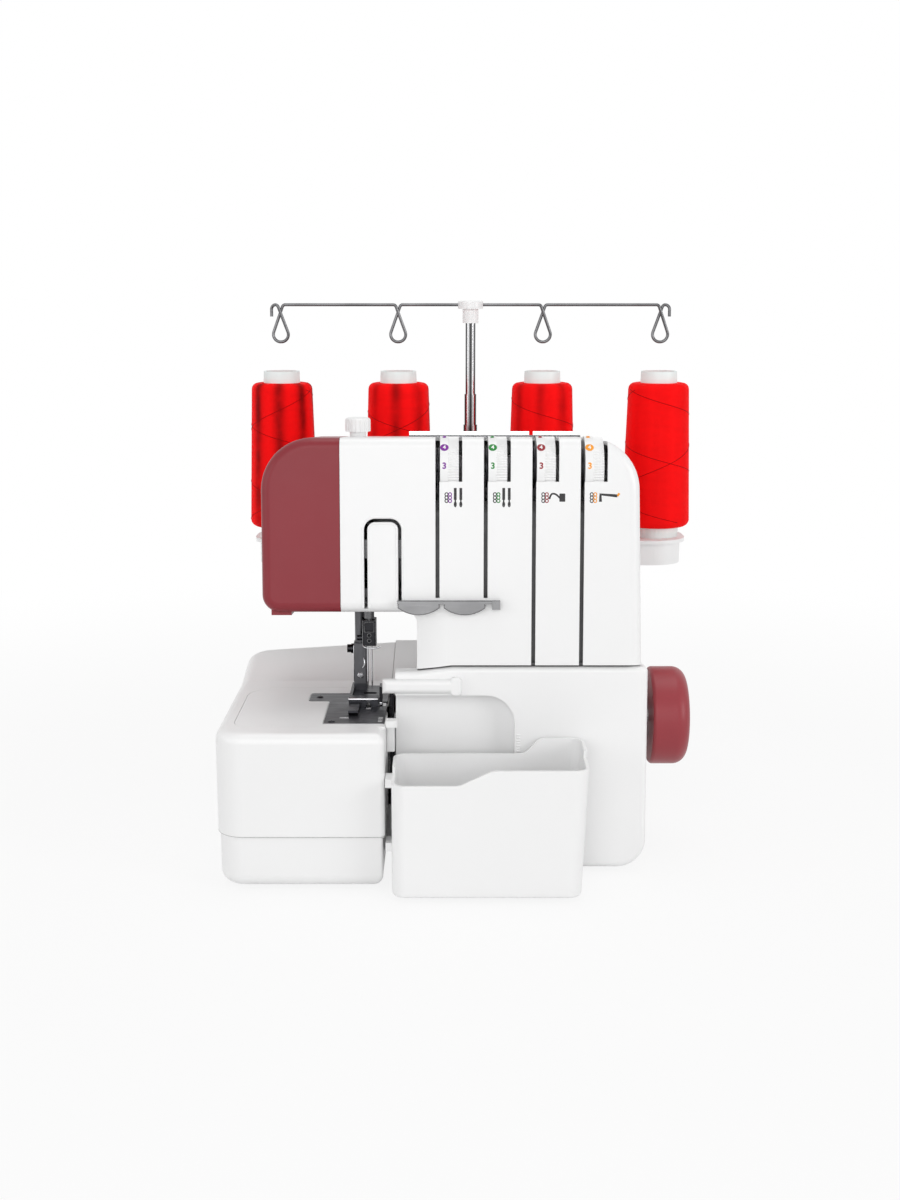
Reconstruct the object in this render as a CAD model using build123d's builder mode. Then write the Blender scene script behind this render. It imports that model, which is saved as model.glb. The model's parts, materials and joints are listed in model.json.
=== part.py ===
"""Four-thread overlock sewing machine with its spool stand, thread cones and waste bin.

The frame stands on the table at Z = 0 with its origin under the middle of the machine.
X runs to the sewer's right, Y runs to the back of the machine and Z runs up.
The tower, the arm and the looper cover lean back by one angle, so they are drawn on the
leaning plane FRONT, where u is X, v climbs along the front face and w comes out of it.
All sizes are millimetres.
"""

import os
from math import cos, pi, radians, sin, sqrt

from build123d import *

os.makedirs("parts", exist_ok=True)

# Shared wall, seam and running sizes
WALL = 2.5
SEAM = 0.3
RUN = 0.05

# Base, bed and deck
FOOT_HEIGHT = 3.0
FOOT_RADIUS = 9.0
FOOT_INSET = 26.0
PAN_HEIGHT = 37.0
PAN_FLOOR = 3.0
PAN_EDGE = 9.0
PAN_INSET = 1.5
BED_TOP = 112.0
BED_TOP_WALL = 4.5
BED_LEFT = -175.0
BED_RIGHT = -60.0
BED_FRONT = -122.0
BED_CORNER = 19.0
BED_EDGE = 7.0
BED_CREASE = 20.0
BED_BACK_LEFT = 82.0
BASE_RIGHT = 121.0
BASE_FRONT = -58.0
BASE_BACK = 100.0
DECK_BACK_TOP = 126.0
DECK_EDGE = 3.0

# Cloth plate and needle plate
CLOTH_LEFT = -164.0
CLOTH_FRONT = -103.0
CLOTH_BACK = 1.0
CLOTH_THICK = 2.0
CLOTH_CORNER = 24.0
LEDGE = 3.0
PLATE_LEFT = -103.0
PLATE_RIGHT = -61.0
PLATE_FRONT = -96.0
PLATE_BACK = -16.0
PLATE_TAB = 15.0
PLATE_TAB_DEPTH = 22.0
PLATE_CORNER = 3.0
NEEDLE_OPENING = (6.0, 6.0)
PLATE_RUN = 1.0

# Leaning tower and arm
LEAN = 4.94
FRONT_FOOT_Y = -86.0
TOWER_TOP = 302.0
TOWER_DEPTH = 110.0
TOWER_RIGHT_LOW = 118.5
TOWER_RIGHT_TOP = 113.5
TOWER_CORNER = 36.0
TOWER_EDGE = 7.0
COLUMN_LEFT = -39.0
COLUMN_FOOT = 90.0
ARM_LEFT = -146.0
ARM_BOTTOM = 181.7
ARM_CORNER = 12.0
ARM_INNER_CORNER = 8.0
FACE_SEAM = -91.5
SHELL_SPLIT = 72.0
FACE_LIP = (14.0, 2.4, 16.0)
COLUMN_SOFT = 24.0
COLUMN_SOFT_DEPTH = 6.0

# Looper cover in front of the column's foot
COVER_LEFT = -54.0
COVER_RIGHT = 121.5
COVER_BOTTOM = 1.0
COVER_TOP = 144.0
COVER_DEPTH = 17.0
COVER_CORNER = 20.0
COVER_EDGE = 4.0
RECESS_RIGHT = 29.0
RECESS_TOP = 124.0
RECESS_DEPTH = 11.0
RECESS_CORNER = 20.0
LIP_LEFT = -63.0
LIP_RIGHT = -8.0
LIP_BOTTOM = 125.5
LIP_TOP = 135.5
LIP_PROUD = 4.0
LIP_ROUND = 3.5
LIP_END = (8.0, 3.0, 1.6)
COVER_GAP = 1.2
COVER_SLOPE = (-38.0, -15.0)
COVER_SLOPE_DROP = 3.4
RECESS_EDGE = 2.0

# Thread slots, tension units and guides
SLOT_FIRST = -24.6
SLOT_PITCH = 33.1
SLOT_COUNT = 4
SLOT_WIDTH = 2.8
SLOT_REACH = 16.0
SLOT_FOOT_LONG = COVER_TOP
SLOT_FOOT_SHORT = 192.0
SLOT_SHORT_COUNT = 2
CHANNEL_WALL = 1.2
CHANNEL_DEPTH = 6.0
DIAL_RADIUS = 22.0
DIAL_WIDTH = 12.8
DIAL_GAP = 0.4
DIAL_PROUD = 0.8
DIAL_WINDOW_FOOT = 272.0
DIAL_WINDOW_WIDTH = 15.6
DIAL_WINDOW_DEPTH = 44.0
DIAL_RIDGES = 72
DIAL_FIGURES = 5.6
RIDGE_DEPTH = 0.7
RIDGE_DROP = 0.2
DISC_RADIUS = 14.0
DISC_THICK = 0.7
DISC_PLACES = (-1.2, 0.4)
POST_RADIUS = 3.0
POST_REACH = 8.0
BRACKET_THICK = 2.5
TOP_GUIDE_LEFT = -45.0
TOP_GUIDE_RIGHT = 76.0
TOP_GUIDE_BACK = 48.0
TOP_GUIDE_DEPTH = 8.0
TOP_GUIDE_RISE = 4.0
TOP_GUIDE_SHEET = 1.0
LOW_GUIDE_LEFT = -52.5
LOW_GUIDE_RIGHT = 18.5
LOW_GUIDE_TOP = 190.5
LOW_GUIDE_STRIP = 2.2
LOW_GUIDE_PROUD = 4.0
SCOOP_CENTRES = (-37.5, -6.0)
SCOOP_WIDTH = 28.0
SCOOP_DROP = 7.4
SCOOP_SIDE = 2.6
GUIDE_HOOK = (5.5, 6.0, 1.5)

# Take-up slot in the arm's front
TAKEUP_LEFT = -75.3
TAKEUP_RIGHT = -49.1
TAKEUP_TOP = 247.0
TAKEUP_CORNER = 8.0
TAKEUP_FOOT = 184.4

# Needle bar, needles and clamp
NEEDLE_X = -74.0
NEEDLE_Y = -27.0
NEEDLE_BAR_RADIUS = 3.5
NEEDLE_BAR_TOP = 282.0
CLAMP_BOTTOM = 151.5
CLAMP_HEIGHT = 19.0
CLAMP_WIDTH = 10.0
CLAMP_DEPTH = 12.0
CLAMP_EDGE = 1.5
CLAMP_RECESS = (7.0, 7.0, 1.5)
CLAMP_SCREW = (4.0, 2.0, 5.0)
CLAMP_HOLES = (4.0, 8.0)
CLAMP_HOLE = (1.3, 2.0)
NEEDLE_SHANK = 11.0
NEEDLE_PITCH = 3.0
NEEDLE_RADIUS = 0.6
NEEDLE_TIP = 118.0
NEEDLE_POINT = 6.0
NEEDLE_END = 0.1
TAKEUP_BAR_Z = 222.0
TAKEUP_BAR_THICK = 3.0
TAKEUP_BAR_FRONT = -60.0
TAKEUP_RING = 6.0
TAKEUP_PLATE = (2.0, 13.0)
TAKEUP_MARGIN = 1.0

# Presser bar, foot and lever
PRESSER_X = -81.5
PRESSER_Y = -12.0
PRESSER_RADIUS = 4.0
PRESSER_TOP = 268.0
COLLAR_RADIUS = 8.0
COLLAR_BOTTOM = 215.0
COLLAR_HEIGHT = 6.0
SPRING_INNER = 4.6
SPRING_OUTER = 6.4
ANKLE_BOTTOM = 120.0
ANKLE_TOP = 150.0
ANKLE_WIDTH = 9.5
ANKLE_DEPTH = 12.0
ANKLE_EDGE = 1.0
ANKLE_SOCKET = 12.0
ANKLE_SCREW = (5.0, 3.0)
ANKLE_WASHER = (2.0, 3.6)
ANKLE_SCREW_DROP = 5.0
FOOT_LEFT = -88.0
FOOT_RIGHT = -67.0
FOOT_SOLE = 3.2
FOOT_FRONT = -52.0
FOOT_BACK = -6.0
TOE_WIDTH = 7.0
TOE_FRONT = -74.0
TOE_INSET = 1.0
FOOT_OPENING = (5.0, 5.0)
FOOT_SPLIT = (2.0, 14.0)
FOOT_RIB = (2.0, 2.5)
FOOT_BRIDGE = (5.0, 3.5)
LEVER_X = -62.0
LEVER_Z = 208.0
LEVER_RADIUS = 4.0
LEVER_LENGTH = 46.0
LEVER_THICK = 6.0
LEVER_DROOP = 14.0
LEVER_BOSS = 7.2
LEVER_TIP = 5.6
LEVER_PAD = (2.5, 2.0)
KNOB_RADIUS = 9.0
KNOB_BOTTOM = 304.0
KNOB_HEIGHT = 9.5
KNOB_STEM = 5.8
KNOB_STEM_LENGTH = 26.0
KNOB_ROUND = 2.0
KNOB_FLUTES = 18
KNOB_FLUTE = (0.5, 1.1)

# Feed, knives, loopers and hem lever
DOG_LEFT = -86.0
DOG_WIDTH = 3.5
DOG_PITCH = 10.5
DOG_FRONT = -56.0
DOG_BACK = -39.0
DOG_TRAVEL = 2.0
DOG_TEETH = 8
DOG_TOOTH = 1.0
DOG_RAKE = 0.7
DOG_TIE = 8.0
FEED_BAR = (-81.0, -77.0)
FEED_BAR_Z = (90.0, 96.0)
FEED_GUIDE = (5.0, 10.0, 4.0)
SUNK = 0.2
KNIFE_X = -66.2
KNIFE_THICK = 2.0
KNIFE_FRONT = -50.0
KNIFE_BACK = -40.0
KNIFE_LAP = 0.6
KNIFE_ARM = (-59.0, -56.0)
KNIFE_ARM_Z = (121.0, 126.0)
KNIFE_ARM_FOOT = 62.0
KNIFE_GUIDE_Z = (80.0, 104.0)
KNIFE_NOTCH = (5.0, 1.0)
LOWER_KNIFE = (4.0, 1.6)
UPPER_LOOPER_X = -50.0
UPPER_LOOPER_Z = 62.0
LOWER_LOOPER_X = -62.0
LOWER_LOOPER_Z = 40.0
LOOPER_SHAFT = 4.0
LOOPER_COLLAR = 1.4
LOOPER_WIDTH = 4.0
LOOPER_NOSE = 2.0
LOOPER_END = 1.0
LOOPER_BEARING = 8.0
LOOPER_CHEEK = 6.0
LOOPER_HEAD = 10.0
UPPER_LOOPER_Y = -32.0
UPPER_LOOPER_BEND = (-6.0, 28.0)
UPPER_LOOPER_TIP = (-17.0, 36.0)
LOWER_LOOPER_Y = -18.0
LOWER_LOOPER_BEND = (0.0, 46.0)
LOWER_LOOPER_TIP = (-10.0, 52.0)
HEM_TAB = (8.0, 8.0, 4.5)
HEM_FRONT = -100.0
HEM_RISE = 3.0
HEM_ROUND = 2.5

# Main shaft, motor and drive
SHAFT_Y = -24.0
SHAFT_Z = 98.0
SHAFT_RADIUS = 5.0
SHAFT_LEFT = -50.0
BUSH_WALL = 2.0
MAIN_PULLEY = 27.0
MOTOR_PULLEY = 9.0
PULLEY_LEFT = 103.0
PULLEY_WIDTH = 9.0
BELT_THICK = 1.6
BELT_WIDTH = 5.0
MOTOR_Y = 60.0
MOTOR_Z = 44.0
MOTOR_RADIUS = 25.0
MOTOR_LEFT = 18.0
MOTOR_RIGHT = 84.0
MOTOR_SHAFT = 3.0
MOTOR_END = 8.0
MOTOR_ROUND = 3.0
MOTOR_SADDLE = 10.0
ROTOR_RADIUS = 17.0
ROTOR_GAP = 1.0
WHEEL_RADIUS = 35.5
WHEEL_LEFT = 128.5
WHEEL_RIGHT = 155.5
WHEEL_EDGE = 10.0

# Frame casting
FRAME_FLOOR = 6.0
FRAME_REST = 2.0
FRAME_LEFT = -150.0
FRAME_RIGHT = 108.0
FRAME_FRONT = -50.0
FRAME_BACK = 78.0
FRAME_REST_INSET = 10.0
SPINE_FRONT = 14.0
SPINE_THICK = 8.0
SPINE_LEFT = -30.0
SPINE_RIGHT = 100.0
SPINE_TOP = 284.0
ARM_SPINE_LEFT = -122.0
ARM_SPINE_BOTTOM = 194.0
RIGHT_WALL = (88.0, 98.0)
RIGHT_WALL_TOP = 128.0
LEFT_WALL = (-44.0, -36.0)
LEFT_WALL_TOP = 106.5
BAR_BRACKETS = ((188.5, 195.0), (256.0, 264.0))
BRACKET_LEFT = -95.0
BRACKET_RIGHT = -56.0
BRACKET_FRONT = -38.0
PLATE_RAIL = (2.0, 8.0)
PLATE_RAIL_ENDS = (-90.0, -20.0)
PLATE_RAIL_THICK = 4.0
PLATE_POST = (-50.0, -30.0)

# Controls at the right end and lamp under the arm
SIDE_DIAL_RADIUS = 13.0
SIDE_DIAL_PROUD = 8.0
SIDE_DIAL_Z = 96.0
SIDE_DIAL_ROUND = 2.0
SIDE_DIAL_RIM = 2.0
SIDE_DIAL_FLUTE = (0.4, 1.2)
STITCH_DIAL_Y = 34.0
FEED_DIAL_Y = 68.0
SPINDLE_RADIUS = 3.0
SPINDLE_LENGTH = 8.0
SWITCH_Y = 34.0
SWITCH_Z = 58.0
SWITCH_SIZE = (14.0, 20.0)
SWITCH_PIN = (0.8, 1.5)
SWITCH_FACE = (2.2, 0.8)
INLET_Y = 72.0
INLET_Z = 52.0
INLET_SIZE = (26.0, 18.0)
INLET_DEPTH = 8.0
INLET_FLANGE = (2.0, 1.2)
INLET_WALL = (4.0, 3.0)
LAMP_SIZE = (14.0, 12.0)
LAMP_X = -57.0
LAMP_W = -44.0

# Waste bin
BIN_LEFT = -55.0
BIN_RIGHT_TOP = 76.5
BIN_RIGHT_FOOT = 72.5
BIN_FRONT = -140.0
BIN_BACK_TOP = -81.5
BIN_BACK_FOOT = -90.0
BIN_FOOT = 3.5
BIN_TOP = 98.0
BIN_WALL = 2.0
BIN_CORNER = 9.0
BIN_FRONT_LOW = 82.0
BIN_FRONT_HIGH = 92.5
BIN_BACK_LOW = 87.0
BIN_STEP_FRONT = (-10.0, 12.0)
BIN_STEP_BACK = (36.0, 46.0)
BIN_HOOKS = (33.0, 78.0)
BIN_HOOK = (4.6, 14.0, 6.0)

# Spool stand
TRAY_HALF = 171.0
TRAY_FRONT = 78.0
TRAY_BACK = 140.0
TRAY_TOP = 209.7
TRAY_HEIGHT = 20.0
TRAY_PLATE = 3.0
TRAY_LIP = 3.5
TRAY_CORNER = 26.0
NECK_HALF = 48.0
CONE_Y = 108.0
CONE_OUTER = 148.15
CONE_INNER = 56.5
HOLDER_RADIUS = 18.0
HOLDER_DISC = 4.0
HOLDER_PLUG = 11.0
HOLDER_PLUG_HEIGHT = 26.0
PIN_RADIUS = 3.0
PIN_TOP = 300.0
CORE_FOOT_RADIUS = 18.5
CORE_TOP_RADIUS = 14.0
CORE_WALL = 1.8
CORE_TOP = 340.0
THREAD_FOOT = 218.0
THREAD_TOP = 331.0
THREAD_FOOT_RADIUS = 27.0
THREAD_TOP_RADIUS = 23.6
THREAD_ROUND = 5.0
POLE_LOWER_RADIUS = 5.5
POLE_MIDDLE_RADIUS = 4.7
POLE_UPPER_RADIUS = 3.9
POLE_GAP = 0.1
POLE_LOWER_TOP = 298.0
POLE_MIDDLE_TOP = 322.0
POLE_UPPER_TOP = 377.0
POLE_OVERLAP = 56.0
POLE_FLOOR = 4.0
CAP_TOP = 394.0
CAP_RADIUS = 9.8
CAP_NECK = 6.2
CAP_DISC = 6.0
CAP_ROUND = 1.0
WIRE_RADIUS = 1.2
WIRE_FIT = 0.45
WIRE_Z = 391.0
WIRE_HALF = 155.0
WIRE_HOOK = 9.0
EYE_HALF = 8.3
EYE_DROP = 28.5
EYE_ROUND = 5.7
EYE_NECK = 2.0
EYE_TWIST = 1.8

FRONT = Plane(
    origin=(0, FRONT_FOOT_Y, FOOT_HEIGHT),
    x_dir=(1, 0, 0),
    z_dir=(0, -cos(radians(LEAN)), sin(radians(LEAN))),
)
PAN_TOP = FOOT_HEIGHT + PAN_HEIGHT
SLOTS = [SLOT_FIRST + SLOT_PITCH * number for number in range(SLOT_COUNT)]
DIAL_V = TOWER_TOP + DIAL_PROUD - DIAL_RADIUS
DIAL_W = DIAL_PROUD - DIAL_RADIUS
DIAL_CENTRE = FRONT.from_local_coords(Vector(0, DIAL_V, DIAL_W))
CONES = (-CONE_OUTER, -CONE_INNER, CONE_INNER, CONE_OUTER)


def block(low, high, mode=Mode.ADD):
    """Add a box between two opposite corners to the part in hand."""
    size = [upper - lower for lower, upper in zip(low, high)]
    with Locations(low):
        Box(*size, align=(Align.MIN, Align.MIN, Align.MIN), mode=mode)


def round_bar(plane, place, radius, length, mode=Mode.ADD):
    """Add a round bar that starts on a plane, at a place in that plane's own axes."""
    with BuildSketch(plane) as section:
        with Locations(place):
            Circle(radius)
    extrude(section.sketch, amount=length, mode=mode)


def bar_x(left, right, y, z, radius, mode=Mode.ADD):
    """Add a round bar along X."""
    round_bar(Plane.YZ.offset(left), (y, z), radius, right - left, mode)


def bar_y(front, back, x, z, radius, mode=Mode.ADD):
    """Add a round bar along Y."""
    round_bar(Plane.XZ.offset(-back), (x, z), radius, back - front, mode)


def bar_z(bottom, top, x, y, radius, mode=Mode.ADD):
    """Add a round bar along Z."""
    round_bar(Plane.XY.offset(bottom), (x, y), radius, top - bottom, mode)


def front_cut(left, right, low, high, depth, start=0.0, mode=Mode.SUBTRACT, corner=0.0):
    """Cut, or add, a rectangle of the leaning front that goes back by a depth."""
    with BuildSketch(FRONT.offset(start)) as section:
        with Locations(((left + right) / 2, (low + high) / 2)):
            if corner:
                RectangleRounded(right - left, high - low, corner)
            else:
                Rectangle(right - left, high - low)
    extrude(section.sketch, amount=-depth, mode=mode)


def ridged(radius, depth, count):
    """Points of a ridged outline round its centre."""
    points = []
    for step in range(2 * count):
        reach = radius - depth * (step % 2)
        angle = pi * step / count
        points.append((reach * cos(angle), reach * sin(angle)))
    return points


def save(builder, name):
    """Label a finished piece and write its STEP file."""
    builder.part.label = name
    export_step(builder.part, f"parts/{name}.step")


# Outlines that several pieces share
def base_outline(inset=0.0):
    """Return the machine's plan outline at table level, drawn in by an inset."""
    with BuildSketch() as outline:
        with BuildLine():
            FilletPolyline(
                (BED_LEFT, BED_FRONT),
                (BED_RIGHT, BED_FRONT),
                (BED_RIGHT, BASE_FRONT),
                (BASE_RIGHT, BASE_FRONT),
                (BASE_RIGHT, BASE_BACK),
                (BED_RIGHT, BASE_BACK),
                (BED_LEFT, BED_BACK_LEFT),
                radius=(BED_CORNER, WALL + 1, WALL + 1, WALL + 1, BED_CORNER, 0, BED_CORNER),
                close=True,
            )
        make_face()
        if inset:
            offset(amount=-inset, kind=Kind.INTERSECTION)
    return outline.sketch


def tower_solid(inset=0.0):
    """Return the tower and arm as one leaning solid, drawn in by an inset."""
    with BuildPart() as tower:
        with BuildSketch(FRONT.offset(-inset)):
            with BuildLine():
                FilletPolyline(
                    (COLUMN_LEFT, COLUMN_FOOT),
                    (TOWER_RIGHT_LOW, COLUMN_FOOT),
                    (TOWER_RIGHT_TOP, TOWER_TOP),
                    (ARM_LEFT, TOWER_TOP),
                    (ARM_LEFT, ARM_BOTTOM),
                    (COLUMN_LEFT, ARM_BOTTOM),
                    radius=(0, 0, TOWER_CORNER, TOWER_CORNER, ARM_CORNER, ARM_INNER_CORNER),
                    close=True,
                )
            make_face()
            if inset:
                offset(amount=-inset, kind=Kind.ARC)
        extrude(amount=2 * inset - TOWER_DEPTH)
        rims = tower.faces().filter_by(FRONT).edges()
        foot = FRONT.from_local_coords(Vector(0, COLUMN_FOOT + inset, 0)).Z
        rims = rims.filter_by(lambda edge: edge.bounding_box().max.Z > foot + TOWER_EDGE)
        fillet(rims, TOWER_EDGE - inset)
    return tower.part


def deck_section(grow=0.0):
    """Return the side view under the bed's and the deck's top, which rises behind a crease."""
    with BuildSketch(Plane.YZ.offset(BED_LEFT)) as section:
        with BuildLine():
            Polyline(
                (BED_FRONT, 0),
                (BASE_BACK, 0),
                (BASE_BACK, DECK_BACK_TOP + grow),
                (BED_CREASE, BED_TOP + grow),
                (BED_FRONT, BED_TOP + grow),
                close=True,
            )
        make_face()
    return section.sketch


def bed_solid(inset=0.0):
    """Return the bed as one solid with a soft top edge, drawn in by an inset."""
    with BuildPart() as bed:
        with BuildSketch(Plane.XY.offset(PAN_TOP + SEAM)):
            add(base_outline(inset))
            with Locations((BED_RIGHT + inset, 0)):
                Rectangle(
                    BASE_RIGHT - BED_RIGHT + inset + WALL,
                    2 * (BASE_BACK - BED_FRONT),
                    align=(Align.MIN, Align.CENTER),
                    mode=Mode.SUBTRACT,
                )
        extrude(amount=DECK_BACK_TOP)
        deck = deck_section(-BED_TOP_WALL if inset else 0.0)
        extrude(deck, amount=BASE_RIGHT - BED_LEFT, mode=Mode.INTERSECT)
        rims = bed.faces().filter_by(lambda face: face.normal_at().Z > 0.9).edges()
        rims = rims.filter_by(lambda edge: abs(edge.center().Y - BED_CREASE) > 1)
        rims = rims.filter_by(lambda edge: edge.center().X < BED_RIGHT - WALL)
        fillet(rims, BED_EDGE - inset)
    return bed.part


def cover_outline(grow=0.0, foot=COVER_BOTTOM, left=COVER_LEFT):
    """Return the looper cover's front outline, which drops at its left end, grown at its top."""
    top = COVER_TOP + grow
    with BuildSketch(FRONT) as outline:
        with BuildLine():
            FilletPolyline(
                (left, foot),
                (COVER_RIGHT + grow, foot),
                (COVER_RIGHT + grow, top),
                (COVER_SLOPE[1], top),
                (COVER_SLOPE[0], top - COVER_SLOPE_DROP),
                (left, top - COVER_SLOPE_DROP),
                radius=(0, COVER_CORNER, WALL + 1, 0, 0, 0),
                close=True,
            )
        make_face()
    return outline.sketch


def cloth_outline(inset=0.0):
    """Return the cloth plate's outline in the bed, drawn in by an inset."""
    with BuildSketch() as outline:
        with BuildLine():
            FilletPolyline(
                (CLOTH_LEFT, CLOTH_FRONT),
                (BED_RIGHT, CLOTH_FRONT),
                (BED_RIGHT, CLOTH_BACK),
                (CLOTH_LEFT, CLOTH_BACK),
                radius=(CLOTH_CORNER / 2, 0, 0, CLOTH_CORNER),
                close=True,
            )
        make_face()
        if inset:
            offset(amount=-inset, kind=Kind.INTERSECTION)
    return outline.sketch


def plate_outline(margin=0.0):
    """Return the needle plate's L-shaped outline, grown by a margin."""
    with BuildSketch() as outline:
        with BuildLine():
            FilletPolyline(
                (PLATE_LEFT, PLATE_FRONT),
                (PLATE_RIGHT, PLATE_FRONT),
                (PLATE_RIGHT, PLATE_BACK),
                (PLATE_LEFT - PLATE_TAB, PLATE_BACK),
                (PLATE_LEFT - PLATE_TAB, PLATE_BACK - PLATE_TAB_DEPTH),
                (PLATE_LEFT, PLATE_BACK - PLATE_TAB_DEPTH),
                radius=(PLATE_CORNER / 2, 0, 0, PLATE_CORNER, PLATE_CORNER, 0),
                close=True,
            )
        make_face()
        if margin:
            offset(amount=margin, kind=Kind.INTERSECTION)
    return outline.sketch


# Bottom pan with the rests that carry the frame casting
rest_x = (FRAME_LEFT + FRAME_REST_INSET, FRAME_RIGHT - FRAME_REST_INSET)
rest_y = (FRAME_FRONT + FRAME_REST_INSET, FRAME_BACK - FRAME_REST_INSET)
frame_rests = [(x, y) for x in rest_x for y in rest_y]
with BuildPart() as base_pan:
    with BuildSketch(Plane.XY.offset(FOOT_HEIGHT)):
        add(base_outline(PAN_INSET))
    extrude(amount=PAN_HEIGHT)
    fillet(base_pan.faces().sort_by(Axis.Z)[0].edges(), PAN_EDGE)
    with BuildSketch(Plane.XY.offset(FOOT_HEIGHT + PAN_FLOOR)):
        add(base_outline(PAN_INSET + WALL))
    extrude(amount=PAN_HEIGHT, mode=Mode.SUBTRACT)
    with BuildSketch(Plane.XY.offset(FOOT_HEIGHT + PAN_FLOOR)):
        with Locations(*frame_rests):
            Circle(FOOT_RADIUS)
    extrude(amount=FRAME_REST)
save(base_pan, "base_pan")

# Rubber feet under the pan
foot_places = [
    (BED_LEFT + FOOT_INSET, BED_FRONT + FOOT_INSET),
    (BASE_RIGHT - FOOT_INSET, BASE_FRONT + FOOT_INSET),
    (BED_LEFT + FOOT_INSET, BASE_BACK - FOOT_INSET),
    (BASE_RIGHT - FOOT_INSET, BASE_BACK - FOOT_INSET),
]
with BuildPart() as rubber_feet:
    with BuildSketch():
        with Locations(*foot_places):
            Circle(FOOT_RADIUS)
    extrude(amount=FOOT_HEIGHT)
save(rubber_feet, "rubber_feet")

# Bed cover, open below and to the right, with a ledge for the cloth plate
bed_outside = bed_solid()
bed_inside = bed_solid(WALL)
plate_seat = BED_TOP - CLOTH_THICK
knife_notch = (BED_RIGHT - KNIFE_NOTCH[0], BED_RIGHT + KNIFE_NOTCH[1])
with BuildPart() as bed_cover:
    add(bed_outside)
    add(bed_inside, mode=Mode.SUBTRACT)
    with BuildSketch(Plane.XY.offset(plate_seat)):
        add(cloth_outline())
    extrude(amount=BED_TOP, mode=Mode.SUBTRACT)
    with BuildSketch(Plane.XY.offset(PAN_TOP + PAN_HEIGHT)):
        add(cloth_outline(LEDGE))
    extrude(amount=BED_TOP, mode=Mode.SUBTRACT)
    block(
        (knife_notch[0], KNIFE_FRONT - LEDGE, PAN_TOP + PAN_HEIGHT),
        (knife_notch[1], KNIFE_BACK + LEDGE, BED_TOP + WALL),
        mode=Mode.SUBTRACT,
    )
save(bed_cover, "bed_cover")

# Cloth plate, open at its right side round the needle plate
with BuildPart() as cloth_plate:
    with BuildSketch(Plane.XY.offset(plate_seat)):
        add(cloth_outline(SEAM))
        add(plate_outline(SEAM), mode=Mode.SUBTRACT)
        with Locations((PLATE_LEFT, PLATE_FRONT - SEAM)):
            Rectangle(
                2 * (PLATE_RIGHT - PLATE_LEFT),
                PLATE_BACK - PLATE_FRONT + 2 * SEAM,
                align=(Align.MIN, Align.MIN),
                mode=Mode.SUBTRACT,
            )
    extrude(amount=CLOTH_THICK)
save(cloth_plate, "cloth_plate")

# Needle plate with its needle opening, feed slots and knife notch
dog_places = [DOG_LEFT + DOG_PITCH * number + DOG_WIDTH / 2 for number in range(2)]
dog_slot = (DOG_WIDTH + PLATE_RUN, DOG_BACK - DOG_FRONT + 2 * (DOG_TRAVEL + PLATE_RUN))
with BuildPart() as needle_plate:
    with BuildSketch(Plane.XY.offset(plate_seat)):
        add(plate_outline())
        with Locations((NEEDLE_X, NEEDLE_Y)):
            SlotCenterToCenter(*NEEDLE_OPENING, mode=Mode.SUBTRACT)
        with Locations(*[(x, (DOG_FRONT + DOG_BACK) / 2) for x in dog_places]):
            Rectangle(*dog_slot, mode=Mode.SUBTRACT)
        with Locations((knife_notch[0], (KNIFE_FRONT + KNIFE_BACK) / 2)):
            Rectangle(
                2 * (BED_RIGHT - knife_notch[0]),
                KNIFE_BACK - KNIFE_FRONT + 2 * PLATE_RUN,
                align=(Align.MIN, Align.CENTER),
                mode=Mode.SUBTRACT,
            )
    extrude(amount=CLOTH_THICK)
save(needle_plate, "needle_plate")

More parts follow.
